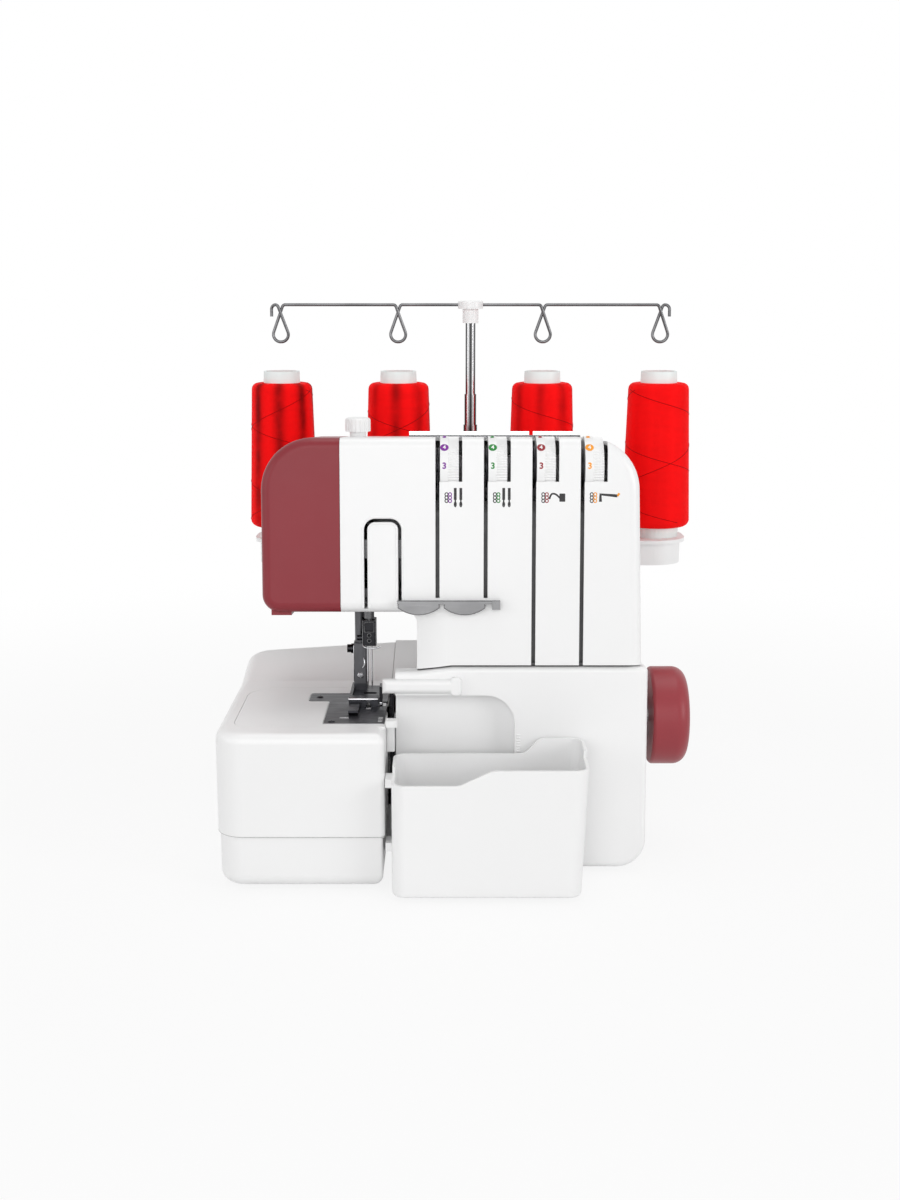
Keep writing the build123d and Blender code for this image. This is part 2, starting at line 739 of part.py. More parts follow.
# End cover round the right and the back of the base
spindles = (STITCH_DIAL_Y, FEED_DIAL_Y)
switch_x = BASE_RIGHT - WALL / 2
switch_half = SWITCH_SIZE[0] / 2 + SWITCH_PIN[1]
switch_span = (SWITCH_Y - switch_half, SWITCH_Y + switch_half)
with BuildPart() as end_cover:
    with BuildSketch(Plane.XY.offset(PAN_TOP + SEAM)):
        add(base_outline())
        with Locations((BED_RIGHT + SEAM, 0)):
            Rectangle(
                BED_RIGHT - BED_LEFT + 2 * SEAM,
                2 * (BASE_BACK - BED_FRONT),
                align=(Align.MAX, Align.CENTER),
                mode=Mode.SUBTRACT,
            )
    extrude(amount=DECK_BACK_TOP)
    extrude(deck_section(), amount=BASE_RIGHT - BED_LEFT, mode=Mode.INTERSECT)
    rims = end_cover.faces().filter_by(lambda face: face.normal_at().Z > 0.9).edges()
    rims = rims.filter_by(lambda edge: abs(edge.center().Y - BED_CREASE) > 1)
    rims = rims.filter_by(lambda edge: edge.center().Y > BASE_FRONT + WALL)
    fillet(rims.filter_by(lambda edge: edge.center().X > BED_RIGHT + WALL), DECK_EDGE)
    with BuildPart(mode=Mode.SUBTRACT):
        with BuildSketch(Plane.XY.offset(PAN_TOP)):
            add(base_outline(WALL))
            with Locations((BASE_RIGHT - WALL, 0)):
                Rectangle(
                    BASE_RIGHT - BED_LEFT,
                    BASE_BACK - BED_FRONT,
                    align=(Align.MAX, Align.MAX),
                )
            with Locations((0, BASE_BACK - WALL)):
                Rectangle(-BED_LEFT, BASE_BACK - BASE_FRONT, align=(Align.MAX, Align.MAX))
        extrude(amount=DECK_BACK_TOP)
        extrude(deck_section(-WALL), amount=BASE_RIGHT - BED_LEFT, mode=Mode.INTERSECT)
    block(
        (COLUMN_LEFT + 2 * WALL, BASE_FRONT - WALL, PAN_TOP),
        (BASE_RIGHT - 3 * WALL, SPINE_FRONT + SPINE_THICK + WALL, DECK_BACK_TOP),
        mode=Mode.SUBTRACT,
    )
    block(
        (BED_RIGHT - WALL, BASE_FRONT - WALL, PAN_TOP),
        (COLUMN_LEFT + 2 * WALL, PRESSER_Y, DECK_BACK_TOP),
        mode=Mode.SUBTRACT,
    )
    inside = BASE_RIGHT - 2 * WALL
    outside = BASE_RIGHT + WALL
    bar_x(inside, outside, SHAFT_Y, SHAFT_Z, SHAFT_RADIUS + WALL, mode=Mode.SUBTRACT)
    for spindle_y in spindles:
        bar_x(inside, outside, spindle_y, SIDE_DIAL_Z, SPINDLE_RADIUS + RUN, mode=Mode.SUBTRACT)
    with BuildSketch(Plane.YZ.offset(inside)):
        with Locations((SWITCH_Y, SWITCH_Z)):
            Rectangle(*SWITCH_SIZE)
        with Locations((INLET_Y, INLET_Z)):
            Rectangle(*INLET_SIZE)
    extrude(amount=outside - inside, mode=Mode.SUBTRACT)
    bar_y(*switch_span, switch_x, SWITCH_Z, SWITCH_PIN[0] + RUN, mode=Mode.SUBTRACT)
save(end_cover, "end_cover")

# Tower and arm shells
tower_outside = tower_solid()
tower_inside = tower_solid(WALL)
deck_cut = deck_section(SEAM)
tower_span = TOWER_RIGHT_LOW + WALL - BED_LEFT


def takeup_slot():
    """Return the inverted U of the take-up slot as a sketch on the leaning front."""
    middle = (TAKEUP_LEFT + TAKEUP_RIGHT) / 2
    width = TAKEUP_RIGHT - TAKEUP_LEFT
    height = TAKEUP_TOP - TAKEUP_FOOT
    with BuildSketch(FRONT) as outline:
        with Locations((middle, TAKEUP_TOP - height / 2)):
            Rectangle(width, height)
        fillet(outline.vertices().group_by(Axis.Y)[-1], TAKEUP_CORNER)
        with BuildSketch(mode=Mode.SUBTRACT) as tongue:
            with Locations((middle, TAKEUP_TOP - SLOT_WIDTH - height / 2)):
                Rectangle(width - 2 * SLOT_WIDTH, height)
            fillet(tongue.vertices().group_by(Axis.Y)[-1], TAKEUP_CORNER - SLOT_WIDTH)
    return outline.sketch


def soft_depth(x):
    """Return how far the column's softened front lies behind the leaning front."""
    radius = (COLUMN_SOFT**2 + COLUMN_SOFT_DEPTH**2) / (2 * COLUMN_SOFT_DEPTH)
    return radius - sqrt(radius**2 - (COLUMN_LEFT + COLUMN_SOFT - x) ** 2)


def soft_section(shift, left, front):
    """Return the plan between a front line and the column's softened front, shifted inwards."""
    right = COLUMN_LEFT + COLUMN_SOFT
    points = [(x, soft_depth(x) + shift) for x in (right, (left + right) / 2, left)]
    plan = Plane(FRONT.origin, x_dir=FRONT.x_dir, z_dir=FRONT.y_dir).offset(COLUMN_FOOT)
    with BuildSketch(plan) as section:
        with BuildLine():
            ThreePointArc(*points)
            Polyline(points[2], (left, front), (right, front), points[0])
        make_face()
    return section.sketch


long_count = SLOT_COUNT - SLOT_SHORT_COUNT
slot_feet = [SLOT_FOOT_SHORT] * SLOT_SHORT_COUNT + [SLOT_FOOT_LONG] * long_count
takeup_cut = takeup_slot()
bar_opening = (PRESSER_X - 2 * PRESSER_RADIUS, NEEDLE_X + 2 * NEEDLE_BAR_RADIUS)
with BuildPart() as main_cover:
    add(tower_outside)
    add(tower_inside, mode=Mode.SUBTRACT)
    split(bisect_by=FRONT.offset(-SHELL_SPLIT), keep=Keep.TOP)
    split(bisect_by=Plane.YZ.offset(FACE_SEAM + SEAM / 2), keep=Keep.TOP)
    for sketch, top, mode in (
        (soft_section(WALL, COLUMN_LEFT + WALL / 2, WALL / 2), ARM_BOTTOM + WALL, Mode.ADD),
        (soft_section(-RUN, COLUMN_LEFT - 2 * ARM_INNER_CORNER, -WALL), ARM_BOTTOM, Mode.SUBTRACT),
    ):
        extrude(sketch, amount=top - COLUMN_FOOT, mode=mode)
    extrude(deck_cut, amount=tower_span, mode=Mode.SUBTRACT)
    cover_room = cover_outline(COVER_GAP, 0, BED_LEFT)
    extrude(cover_room, amount=WALL, mode=Mode.SUBTRACT)
    extrude(cover_room, amount=-COVER_DEPTH, mode=Mode.SUBTRACT)
    for slot_x, slot_foot in zip(SLOTS, slot_feet):
        edge = slot_x - SLOT_WIDTH / 2
        front_cut(edge, edge + SLOT_WIDTH, slot_foot, TOWER_TOP + WALL, SLOT_REACH + WALL, start=WALL)
        front_cut(
            edge,
            edge + SLOT_WIDTH + DIAL_WINDOW_WIDTH,
            DIAL_WINDOW_FOOT,
            TOWER_TOP + WALL,
            DIAL_WINDOW_DEPTH + WALL,
            start=WALL,
        )
        bar_x(
            edge + SLOT_WIDTH,
            edge + SLOT_WIDTH + DIAL_WINDOW_WIDTH,
            DIAL_CENTRE.Y,
            DIAL_CENTRE.Z,
            DIAL_RADIUS + 2 * SEAM,
            mode=Mode.SUBTRACT,
        )
    extrude(takeup_cut, amount=2 * WALL, both=True, mode=Mode.SUBTRACT)
    block(
        (bar_opening[0], NEEDLE_Y - 2 * NEEDLE_BAR_RADIUS, ARM_BOTTOM - 2 * WALL),
        (bar_opening[1], PRESSER_Y + 2 * PRESSER_RADIUS, ARM_BOTTOM + 4 * WALL),
        mode=Mode.SUBTRACT,
    )
    bar_z(KNOB_BOTTOM - KNOB_STEM_LENGTH, CAP_TOP, PRESSER_X, PRESSER_Y, KNOB_STEM + SEAM, mode=Mode.SUBTRACT)
    front_cut(
        LAMP_X - LAMP_SIZE[0] / 2,
        LAMP_X + LAMP_SIZE[0] / 2,
        ARM_BOTTOM - WALL,
        ARM_BOTTOM + 2 * WALL,
        LAMP_SIZE[1],
        start=LAMP_W + LAMP_SIZE[1] / 2,
    )
save(main_cover, "main_cover")

with BuildPart() as rear_cover:
    add(tower_outside)
    add(tower_inside, mode=Mode.SUBTRACT)
    split(bisect_by=FRONT.offset(-SHELL_SPLIT - SEAM), keep=Keep.BOTTOM)
    split(bisect_by=Plane.YZ.offset(FACE_SEAM + SEAM / 2), keep=Keep.TOP)
    extrude(deck_cut, amount=tower_span, mode=Mode.SUBTRACT)
    bar_y(SPINE_FRONT, BASE_BACK, LEVER_X, LEVER_Z, LEVER_RADIUS + SEAM, mode=Mode.SUBTRACT)
save(rear_cover, "rear_cover")

with BuildPart() as face_cover:
    add(tower_outside)
    add(tower_inside, mode=Mode.SUBTRACT)
    split(bisect_by=Plane.YZ.offset(FACE_SEAM - SEAM / 2), keep=Keep.BOTTOM)
    front_cut(
        ARM_LEFT + ARM_CORNER / 2,
        ARM_LEFT + ARM_CORNER / 2 + FACE_LIP[0],
        ARM_BOTTOM - FACE_LIP[1],
        ARM_BOTTOM + WALL,
        FACE_LIP[2],
        start=-TOWER_EDGE,
        mode=Mode.ADD,
    )
save(face_cover, "face_cover")

# Lamp lens let into the arm's underside
with BuildPart() as lamp_lens:
    front_cut(
        LAMP_X - LAMP_SIZE[0] / 2 + SEAM,
        LAMP_X + LAMP_SIZE[0] / 2 - SEAM,
        ARM_BOTTOM,
        ARM_BOTTOM + WALL,
        LAMP_SIZE[1] - 2 * SEAM,
        start=LAMP_W + LAMP_SIZE[1] / 2 - SEAM,
        mode=Mode.ADD,
    )
save(lamp_lens, "lamp_lens")

# Looper cover with its recess and lip bar
lip_middle = (LIP_BOTTOM + LIP_TOP) / 2
lip_half = (LIP_TOP - LIP_BOTTOM) / 2
with BuildPart() as lip_bar:
    with BuildSketch(FRONT.offset(-WALL)):
        with Locations(((LIP_LEFT + LIP_RIGHT) / 2, lip_middle)):
            Rectangle(LIP_RIGHT - LIP_LEFT, 2 * lip_half)
    extrude(amount=LIP_PROUD + WALL)
    fillet(lip_bar.faces().filter_by(FRONT).sort_by(Axis.Y)[0].edges(), LIP_ROUND)
with BuildPart() as lip_end:
    with BuildSketch(FRONT.offset(-WALL)):
        with Locations((LIP_RIGHT - LIP_END[0] / 2, lip_middle)):
            RectangleRounded(LIP_END[0], 2 * (lip_half + LIP_END[2]), LIP_END[1])
    extrude(amount=LIP_PROUD + WALL)
    fillet(lip_end.faces().filter_by(FRONT).sort_by(Axis.Y)[0].edges(), LIP_END[1] / 2)

with BuildPart() as looper_cover:
    extrude(cover_outline(), amount=-2 * COVER_DEPTH)
    rims = looper_cover.faces().filter_by(FRONT).sort_by(Axis.Y)[0].edges()
    fillet(rims.filter_by(lambda edge: edge.center().X > COVER_LEFT + WALL), COVER_EDGE)
    with BuildPart(mode=Mode.SUBTRACT):
        extrude(cover_outline(-WALL, COVER_BOTTOM + WALL, COVER_LEFT - WALL), amount=-2 * COVER_DEPTH)
        split(bisect_by=FRONT.offset(-WALL), keep=Keep.BOTTOM)
    for margin, start, depth, mode in (
        (WALL, -WALL / 2, RECESS_DEPTH + WALL / 2, Mode.ADD),
        (0.0, WALL, RECESS_DEPTH + WALL, Mode.SUBTRACT),
    ):
        with BuildSketch(FRONT.offset(start)):
            with BuildLine():
                FilletPolyline(
                    (COVER_LEFT, COVER_BOTTOM),
                    (RECESS_RIGHT + margin, COVER_BOTTOM),
                    (RECESS_RIGHT + margin, RECESS_TOP + margin),
                    (COVER_LEFT, RECESS_TOP + margin),
                    radius=(0, 0, RECESS_CORNER + margin, 0),
                    close=True,
                )
            make_face()
        extrude(amount=-depth - margin, mode=mode)
    split(bisect_by=Plane.XZ.offset(-BASE_FRONT + SEAM), keep=Keep.TOP)
    front_face = looper_cover.faces().filter_by(FRONT).sort_by(Axis.Y)[0]
    inner = front_face.edges().filter_by(lambda edge: edge.center().X < RECESS_RIGHT + SEAM)
    recess_z = FRONT.from_local_coords(Vector(0, RECESS_TOP + SEAM, 0)).Z
    inner = inner.filter_by(lambda edge: edge.center().Z < recess_z)
    fillet(inner.filter_by(lambda edge: edge.center().X > COVER_LEFT + WALL), RECESS_EDGE)
    add(lip_bar.part)
    add(lip_end.part)
save(looper_cover, "looper_cover")

# Waste bin in front of the looper cover, drawn in towards its floor
def bin_outline(height, inset=0.0):
    """Return the bin's plan outline at a height, drawn in by an inset."""
    share = (height - BIN_FOOT) / (BIN_TOP - BIN_FOOT)
    right = BIN_RIGHT_FOOT + share * (BIN_RIGHT_TOP - BIN_RIGHT_FOOT) - inset
    back = BIN_BACK_FOOT + share * (BIN_BACK_TOP - BIN_BACK_FOOT) - inset
    left = BIN_LEFT + inset
    front = BIN_FRONT + inset
    with BuildSketch(Plane.XY.offset(height)) as outline:
        with Locations(((left + right) / 2, (front + back) / 2)):
            RectangleRounded(right - left, back - front, BIN_CORNER - inset)
    return outline.sketch


bin_middle = (BIN_FRONT + BIN_BACK_TOP) / 2
with BuildPart() as waste_bin:
    loft([bin_outline(BIN_FOOT), bin_outline(BIN_TOP)], ruled=True)
    fillet(waste_bin.faces().sort_by(Axis.Z)[0].edges(), BIN_WALL)
    bin_floor = BIN_FOOT + BIN_WALL
    loft([bin_outline(bin_floor, BIN_WALL), bin_outline(BIN_TOP, BIN_WALL)], ruled=True, mode=Mode.SUBTRACT)
    for rear_plane, depth, low, high, step in (
        (bin_middle, bin_middle - BIN_FRONT + BIN_WALL, BIN_FRONT_LOW, BIN_FRONT_HIGH, BIN_STEP_FRONT),
        (0.0, -bin_middle, BIN_BACK_LOW, BIN_TOP, BIN_STEP_BACK),
    ):
        with BuildSketch(Plane.XZ.offset(-rear_plane)):
            with BuildLine():
                FilletPolyline(
                    (BIN_LEFT - BIN_CORNER, low),
                    (step[0], low),
                    (step[1], high),
                    (BIN_RIGHT_TOP + BIN_CORNER, high),
                    (BIN_RIGHT_TOP + BIN_CORNER, BIN_TOP + BIN_CORNER),
                    (BIN_LEFT - BIN_CORNER, BIN_TOP + BIN_CORNER),
                    radius=(0, BIN_CORNER, BIN_CORNER, 0, 0, 0),
                    close=True,
                )
            make_face()
        extrude(amount=depth, mode=Mode.SUBTRACT)
    for hook_z in BIN_HOOKS:
        block(
            (BIN_LEFT - BIN_HOOK[0], BIN_FRONT + 2 * BIN_CORNER, hook_z - BIN_HOOK[2] / 2),
            (BIN_LEFT + BIN_WALL, BIN_FRONT + 2 * BIN_CORNER + BIN_HOOK[1], hook_z + BIN_HOOK[2] / 2),
        )
save(waste_bin, "waste_bin")

# Frame casting: floor, spine, bearing walls, bar brackets and tension brackets
frame_seat = FOOT_HEIGHT + PAN_FLOOR + FRAME_REST
frame_top = frame_seat + FRAME_FLOOR
dial_y = DIAL_CENTRE.Y
dial_z = DIAL_CENTRE.Z
bush_radius = SHAFT_RADIUS + RUN + BUSH_WALL
needle_bush = NEEDLE_BAR_RADIUS + RUN + BUSH_WALL
presser_bush = PRESSER_RADIUS + RUN + BUSH_WALL
with BuildPart() as main_frame:
    block((FRAME_LEFT, FRAME_FRONT, frame_seat), (FRAME_RIGHT, FRAME_BACK, frame_top))
    with BuildSketch(Plane.XZ.offset(-SPINE_FRONT - SPINE_THICK)):
        with BuildLine():
            FilletPolyline(
                (LEFT_WALL[0], frame_top),
                (SPINE_RIGHT, frame_top),
                (SPINE_RIGHT, SPINE_TOP),
                (ARM_SPINE_LEFT, SPINE_TOP),
                (ARM_SPINE_LEFT, ARM_SPINE_BOTTOM),
                (SPINE_LEFT, ARM_SPINE_BOTTOM),
                (SPINE_LEFT, BED_TOP - 2 * WALL),
                (LEFT_WALL[0], BED_TOP - 2 * WALL),
                radius=(0, 0, ARM_CORNER, ARM_CORNER, ARM_CORNER, ARM_CORNER, 0, 0),
                close=True,
            )
        make_face()
    extrude(amount=SPINE_THICK)
    block((RIGHT_WALL[0], FRAME_FRONT, frame_top), (RIGHT_WALL[1], SPINE_FRONT, RIGHT_WALL_TOP))
    block((LEFT_WALL[0], FRAME_FRONT, frame_top), (LEFT_WALL[1], SPINE_FRONT, LEFT_WALL_TOP))
    for low, high in BAR_BRACKETS:
        block((BRACKET_LEFT, BRACKET_FRONT, low), (BRACKET_RIGHT, SPINE_FRONT, high))
    for slot_x in SLOTS:
        left = slot_x - POST_REACH
        block(
            (left, dial_y - 2 * POST_RADIUS, dial_z - 2 * POST_RADIUS),
            (left + BRACKET_THICK, SPINE_FRONT, dial_z + 2 * POST_RADIUS),
        )
        bar_x(left, left + BRACKET_THICK, dial_y, dial_z, POST_RADIUS, mode=Mode.SUBTRACT)
    looper_block = SPINE_FRONT - LOOPER_BEARING
    block(
        (LOWER_LOOPER_X - LOOPER_CHEEK, looper_block, frame_top),
        (LEFT_WALL[0], SPINE_FRONT, UPPER_LOOPER_Z + LOOPER_HEAD),
    )
    block(
        (FEED_BAR[0] - FEED_GUIDE[0], SPINE_FRONT - FEED_GUIDE[1], frame_top),
        (FEED_BAR[1] + FEED_GUIDE[0], SPINE_FRONT, FEED_BAR_Z[1] + FEED_GUIDE[2]),
    )
    block(
        (FEED_BAR[0] - RUN, 0.0, FEED_BAR_Z[0] - RUN),
        (FEED_BAR[1] + RUN, SPINE_FRONT, FEED_BAR_Z[1] + RUN),
        mode=Mode.SUBTRACT,
    )
    rail = (PLATE_LEFT + PLATE_RAIL[0], PLATE_LEFT + PLATE_RAIL[1])
    rail_foot = plate_seat - PLATE_RAIL_THICK
    block((rail[0], PLATE_RAIL_ENDS[0], rail_foot), (rail[1], PLATE_RAIL_ENDS[1], plate_seat))
    block((rail[0], PLATE_POST[0], frame_top), (rail[1], PLATE_POST[1], rail_foot))
    block((KNIFE_ARM[1] + SEAM, KNIFE_FRONT, KNIFE_GUIDE_Z[0]), (LEFT_WALL[0], KNIFE_BACK, KNIFE_GUIDE_Z[1]))
    for wall in (LEFT_WALL, RIGHT_WALL):
        bar_x(wall[0], wall[1], SHAFT_Y, SHAFT_Z, bush_radius, mode=Mode.SUBTRACT)
    for low, high in BAR_BRACKETS:
        bar_z(low, high, NEEDLE_X, NEEDLE_Y, needle_bush, mode=Mode.SUBTRACT)
        bar_z(low, high, PRESSER_X, PRESSER_Y, presser_bush, mode=Mode.SUBTRACT)
    looper_bore = LOOPER_SHAFT + RUN
    bar_y(looper_block, SPINE_FRONT, UPPER_LOOPER_X, UPPER_LOOPER_Z, looper_bore, mode=Mode.SUBTRACT)
    bar_y(looper_block, SPINE_FRONT, LOWER_LOOPER_X, LOWER_LOOPER_Z, looper_bore, mode=Mode.SUBTRACT)
    bar_y(SPINE_FRONT, SPINE_FRONT + SPINE_THICK, LEVER_X, LEVER_Z, LEVER_RADIUS + RUN, mode=Mode.SUBTRACT)
save(main_frame, "main_frame")

# Bushes for the main shaft and for the two bars in the arm
with BuildPart() as shaft_bushes:
    for wall in (LEFT_WALL, RIGHT_WALL):
        bar_x(wall[0], wall[1], SHAFT_Y, SHAFT_Z, bush_radius)
        bar_x(wall[0], wall[1], SHAFT_Y, SHAFT_Z, SHAFT_RADIUS + RUN, mode=Mode.SUBTRACT)
save(shaft_bushes, "shaft_bushes")

with BuildPart() as bar_bushes:
    for low, high in BAR_BRACKETS:
        for x, y, bore, outer in (
            (NEEDLE_X, NEEDLE_Y, NEEDLE_BAR_RADIUS + RUN, needle_bush),
            (PRESSER_X, PRESSER_Y, PRESSER_RADIUS + RUN, presser_bush),
        ):
            bar_z(low, high, x, y, outer)
            bar_z(low, high, x, y, bore, mode=Mode.SUBTRACT)
save(bar_bushes, "bar_bushes")

# Main shaft, pulleys, belt, motor and handwheel
with BuildPart() as main_shaft:
    bar_x(SHAFT_LEFT, WHEEL_RIGHT - WHEEL_EDGE, SHAFT_Y, SHAFT_Z, SHAFT_RADIUS)
save(main_shaft, "main_shaft")


def pulley(y, z, radius, bore):
    """Add a flanged belt pulley on a shaft along X to the part in hand."""
    right = PULLEY_LEFT + PULLEY_WIDTH
    flange = (PULLEY_WIDTH - BELT_WIDTH) / 2 - SEAM
    bar_x(PULLEY_LEFT, right, y, z, radius)
    bar_x(PULLEY_LEFT, PULLEY_LEFT + flange, y, z, radius + 2 * BELT_THICK)
    bar_x(right - flange, right, y, z, radius + 2 * BELT_THICK)
    bar_x(PULLEY_LEFT, right, y, z, bore, mode=Mode.SUBTRACT)


with BuildPart() as main_pulley:
    pulley(SHAFT_Y, SHAFT_Z, MAIN_PULLEY, SHAFT_RADIUS)
save(main_pulley, "main_pulley")

with BuildPart() as motor_pulley:
    pulley(MOTOR_Y, MOTOR_Z, MOTOR_PULLEY, MOTOR_SHAFT)
save(motor_pulley, "motor_pulley")

with BuildPart() as drive_belt:
    for grow, mode in ((SEAM + BELT_THICK, Mode.ADD), (SEAM, Mode.SUBTRACT)):
        with BuildSketch(Plane.YZ.offset(PULLEY_LEFT + (PULLEY_WIDTH - BELT_WIDTH) / 2)):
            with Locations((SHAFT_Y, SHAFT_Z)):
                Circle(MAIN_PULLEY + grow)
            with Locations((MOTOR_Y, MOTOR_Z)):
                Circle(MOTOR_PULLEY + grow)
            make_hull()
        extrude(amount=BELT_WIDTH, mode=mode)
save(drive_belt, "drive_belt")

with BuildPart() as motor:
    bar_x(MOTOR_LEFT, MOTOR_RIGHT, MOTOR_Y, MOTOR_Z, MOTOR_RADIUS)
    fillet(motor.edges().filter_by(GeomType.CIRCLE), MOTOR_ROUND)
    block(
        (MOTOR_LEFT + MOTOR_SADDLE, MOTOR_Y - MOTOR_RADIUS / 2, frame_top),
        (MOTOR_RIGHT - MOTOR_SADDLE, MOTOR_Y + MOTOR_RADIUS / 2, MOTOR_Z),
    )
    rotor_left = MOTOR_LEFT + MOTOR_END
    rotor_right = MOTOR_RIGHT - MOTOR_END
    bar_x(rotor_left, rotor_right, MOTOR_Y, MOTOR_Z, ROTOR_RADIUS + ROTOR_GAP, mode=Mode.SUBTRACT)
    bar_x(MOTOR_LEFT + WALL, MOTOR_RIGHT, MOTOR_Y, MOTOR_Z, MOTOR_SHAFT + RUN, mode=Mode.SUBTRACT)
save(motor, "motor")

with BuildPart() as motor_rotor:
    bar_x(MOTOR_LEFT + WALL + RUN, PULLEY_LEFT + PULLEY_WIDTH, MOTOR_Y, MOTOR_Z, MOTOR_SHAFT)
    bar_x(rotor_left + ROTOR_GAP, rotor_right - ROTOR_GAP, MOTOR_Y, MOTOR_Z, ROTOR_RADIUS)
save(motor_rotor, "motor_rotor")

with BuildPart() as handwheel:
    with BuildSketch(Plane.XZ.offset(-SHAFT_Y)):
        with BuildLine():
            FilletPolyline(
                (WHEEL_LEFT, SHAFT_Z),
                (WHEEL_RIGHT, SHAFT_Z),
                (WHEEL_RIGHT, SHAFT_Z + WHEEL_RADIUS),
                (WHEEL_LEFT, SHAFT_Z + WHEEL_RADIUS),
                radius=(0, 0, WHEEL_EDGE, WALL),
                close=True,
            )
        make_face()
    revolve(axis=Axis((0, SHAFT_Y, SHAFT_Z), (1, 0, 0)))
    bar_x(WHEEL_LEFT, WHEEL_RIGHT - WHEEL_EDGE, SHAFT_Y, SHAFT_Z, SHAFT_RADIUS, mode=Mode.SUBTRACT)
save(handwheel, "handwheel")

# Needle bar with its clamp, needles and thread take-up
clamp_top = CLAMP_BOTTOM + CLAMP_HEIGHT
with BuildPart() as needle_bar:
    bar_z(clamp_top, NEEDLE_BAR_TOP, NEEDLE_X, NEEDLE_Y, NEEDLE_BAR_RADIUS)
save(needle_bar, "needle_bar")

needle_places = [(NEEDLE_X + side * NEEDLE_PITCH / 2, NEEDLE_Y) for side in (-1, 1)]
with BuildPart() as needle_clamp:
    block(
        (NEEDLE_X - CLAMP_WIDTH / 2, NEEDLE_Y - CLAMP_DEPTH / 2, CLAMP_BOTTOM),
        (NEEDLE_X + CLAMP_WIDTH / 2, NEEDLE_Y + CLAMP_DEPTH / 2, clamp_top),
    )
    fillet(needle_clamp.edges().filter_by(Axis.Z), CLAMP_EDGE)
    clamp_face = NEEDLE_Y - CLAMP_DEPTH / 2
    with BuildSketch(Plane.XZ.offset(-clamp_face)):
        with Locations((NEEDLE_X, clamp_top - CLAMP_EDGE)):
            Rectangle(CLAMP_RECESS[0], CLAMP_RECESS[1], align=(Align.CENTER, Align.MAX))
    extrude(amount=-CLAMP_RECESS[2], mode=Mode.SUBTRACT)
    for hole in CLAMP_HOLES:
        hole_z = CLAMP_BOTTOM + hole
        bar_y(clamp_face, clamp_face + CLAMP_HOLE[1], NEEDLE_X, hole_z, CLAMP_HOLE[0], mode=Mode.SUBTRACT)
    for x, y in needle_places:
        bar_z(CLAMP_BOTTOM, CLAMP_BOTTOM + NEEDLE_SHANK, x, y, NEEDLE_RADIUS, mode=Mode.SUBTRACT)
    screw_end = NEEDLE_X - CLAMP_WIDTH / 2
    bar_x(screw_end - CLAMP_SCREW[0], screw_end, NEEDLE_Y, CLAMP_BOTTOM + CLAMP_SCREW[2], CLAMP_SCREW[1])
save(needle_clamp, "needle_clamp")

with BuildPart() as needles:
    for x, y in needle_places:
        bar_z(NEEDLE_TIP + NEEDLE_POINT, CLAMP_BOTTOM + NEEDLE_SHANK, x, y, NEEDLE_RADIUS)
        with Locations((x, y, NEEDLE_TIP + NEEDLE_POINT / 2)):
            Cone(NEEDLE_END, NEEDLE_RADIUS, NEEDLE_POINT)
save(needles, "needles")

takeup_low = TAKEUP_BAR_Z - TAKEUP_BAR_THICK / 2
with BuildPart() as thread_takeup:
    with BuildSketch(Plane.XY.offset(takeup_low)):
        with Locations((NEEDLE_X, NEEDLE_Y)):
            Circle(TAKEUP_RING)
            Rectangle(TAKEUP_RING, NEEDLE_Y - TAKEUP_BAR_FRONT, align=(Align.CENTER, Align.MAX))
            Circle(NEEDLE_BAR_RADIUS, mode=Mode.SUBTRACT)
    extrude(amount=TAKEUP_BAR_THICK)
    block(
        (TAKEUP_LEFT - TAKEUP_MARGIN, TAKEUP_BAR_FRONT, takeup_low),
        (TAKEUP_RIGHT + TAKEUP_MARGIN, TAKEUP_BAR_FRONT + TAKEUP_PLATE[0], takeup_low + TAKEUP_PLATE[1]),
    )
save(thread_takeup, "thread_takeup")

# Presser bar with collar, spring, ankle, screw and foot
bar_foot = ANKLE_TOP - ANKLE_SOCKET
with BuildPart() as presser_bar:
    bar_z(bar_foot, PRESSER_TOP, PRESSER_X, PRESSER_Y, PRESSER_RADIUS)
    bar_z(COLLAR_BOTTOM, COLLAR_BOTTOM + COLLAR_HEIGHT, PRESSER_X, PRESSER_Y, COLLAR_RADIUS)
save(presser_bar, "presser_bar")

with BuildPart() as presser_spring:
    bar_z(COLLAR_BOTTOM + COLLAR_HEIGHT, BAR_BRACKETS[1][0], PRESSER_X, PRESSER_Y, SPRING_OUTER)
    bar_z(
        COLLAR_BOTTOM + COLLAR_HEIGHT,
        BAR_BRACKETS[1][0],
        PRESSER_X,
        PRESSER_Y,
        SPRING_INNER,
        mode=Mode.SUBTRACT,
    )
save(presser_spring, "presser_spring")

with BuildPart() as presser_ankle:
    block(
        (PRESSER_X - ANKLE_WIDTH / 2, PRESSER_Y - ANKLE_DEPTH / 2, ANKLE_BOTTOM),
        (PRESSER_X + ANKLE_WIDTH / 2, PRESSER_Y + ANKLE_DEPTH / 2, ANKLE_TOP),
    )
    fillet(presser_ankle.edges().filter_by(Axis.Z), ANKLE_EDGE)
    bar_z(bar_foot, ANKLE_TOP, PRESSER_X, PRESSER_Y, PRESSER_RADIUS, mode=Mode.SUBTRACT)
save(presser_ankle, "presser_ankle")

with BuildPart() as ankle_screw:
    left = PRESSER_X - ANKLE_WIDTH / 2
    for length, radius in (ANKLE_SCREW, ANKLE_WASHER):
        bar_x(left - length, left, PRESSER_Y, ANKLE_TOP - ANKLE_SCREW_DROP, radius)
save(ankle_screw, "ankle_screw")

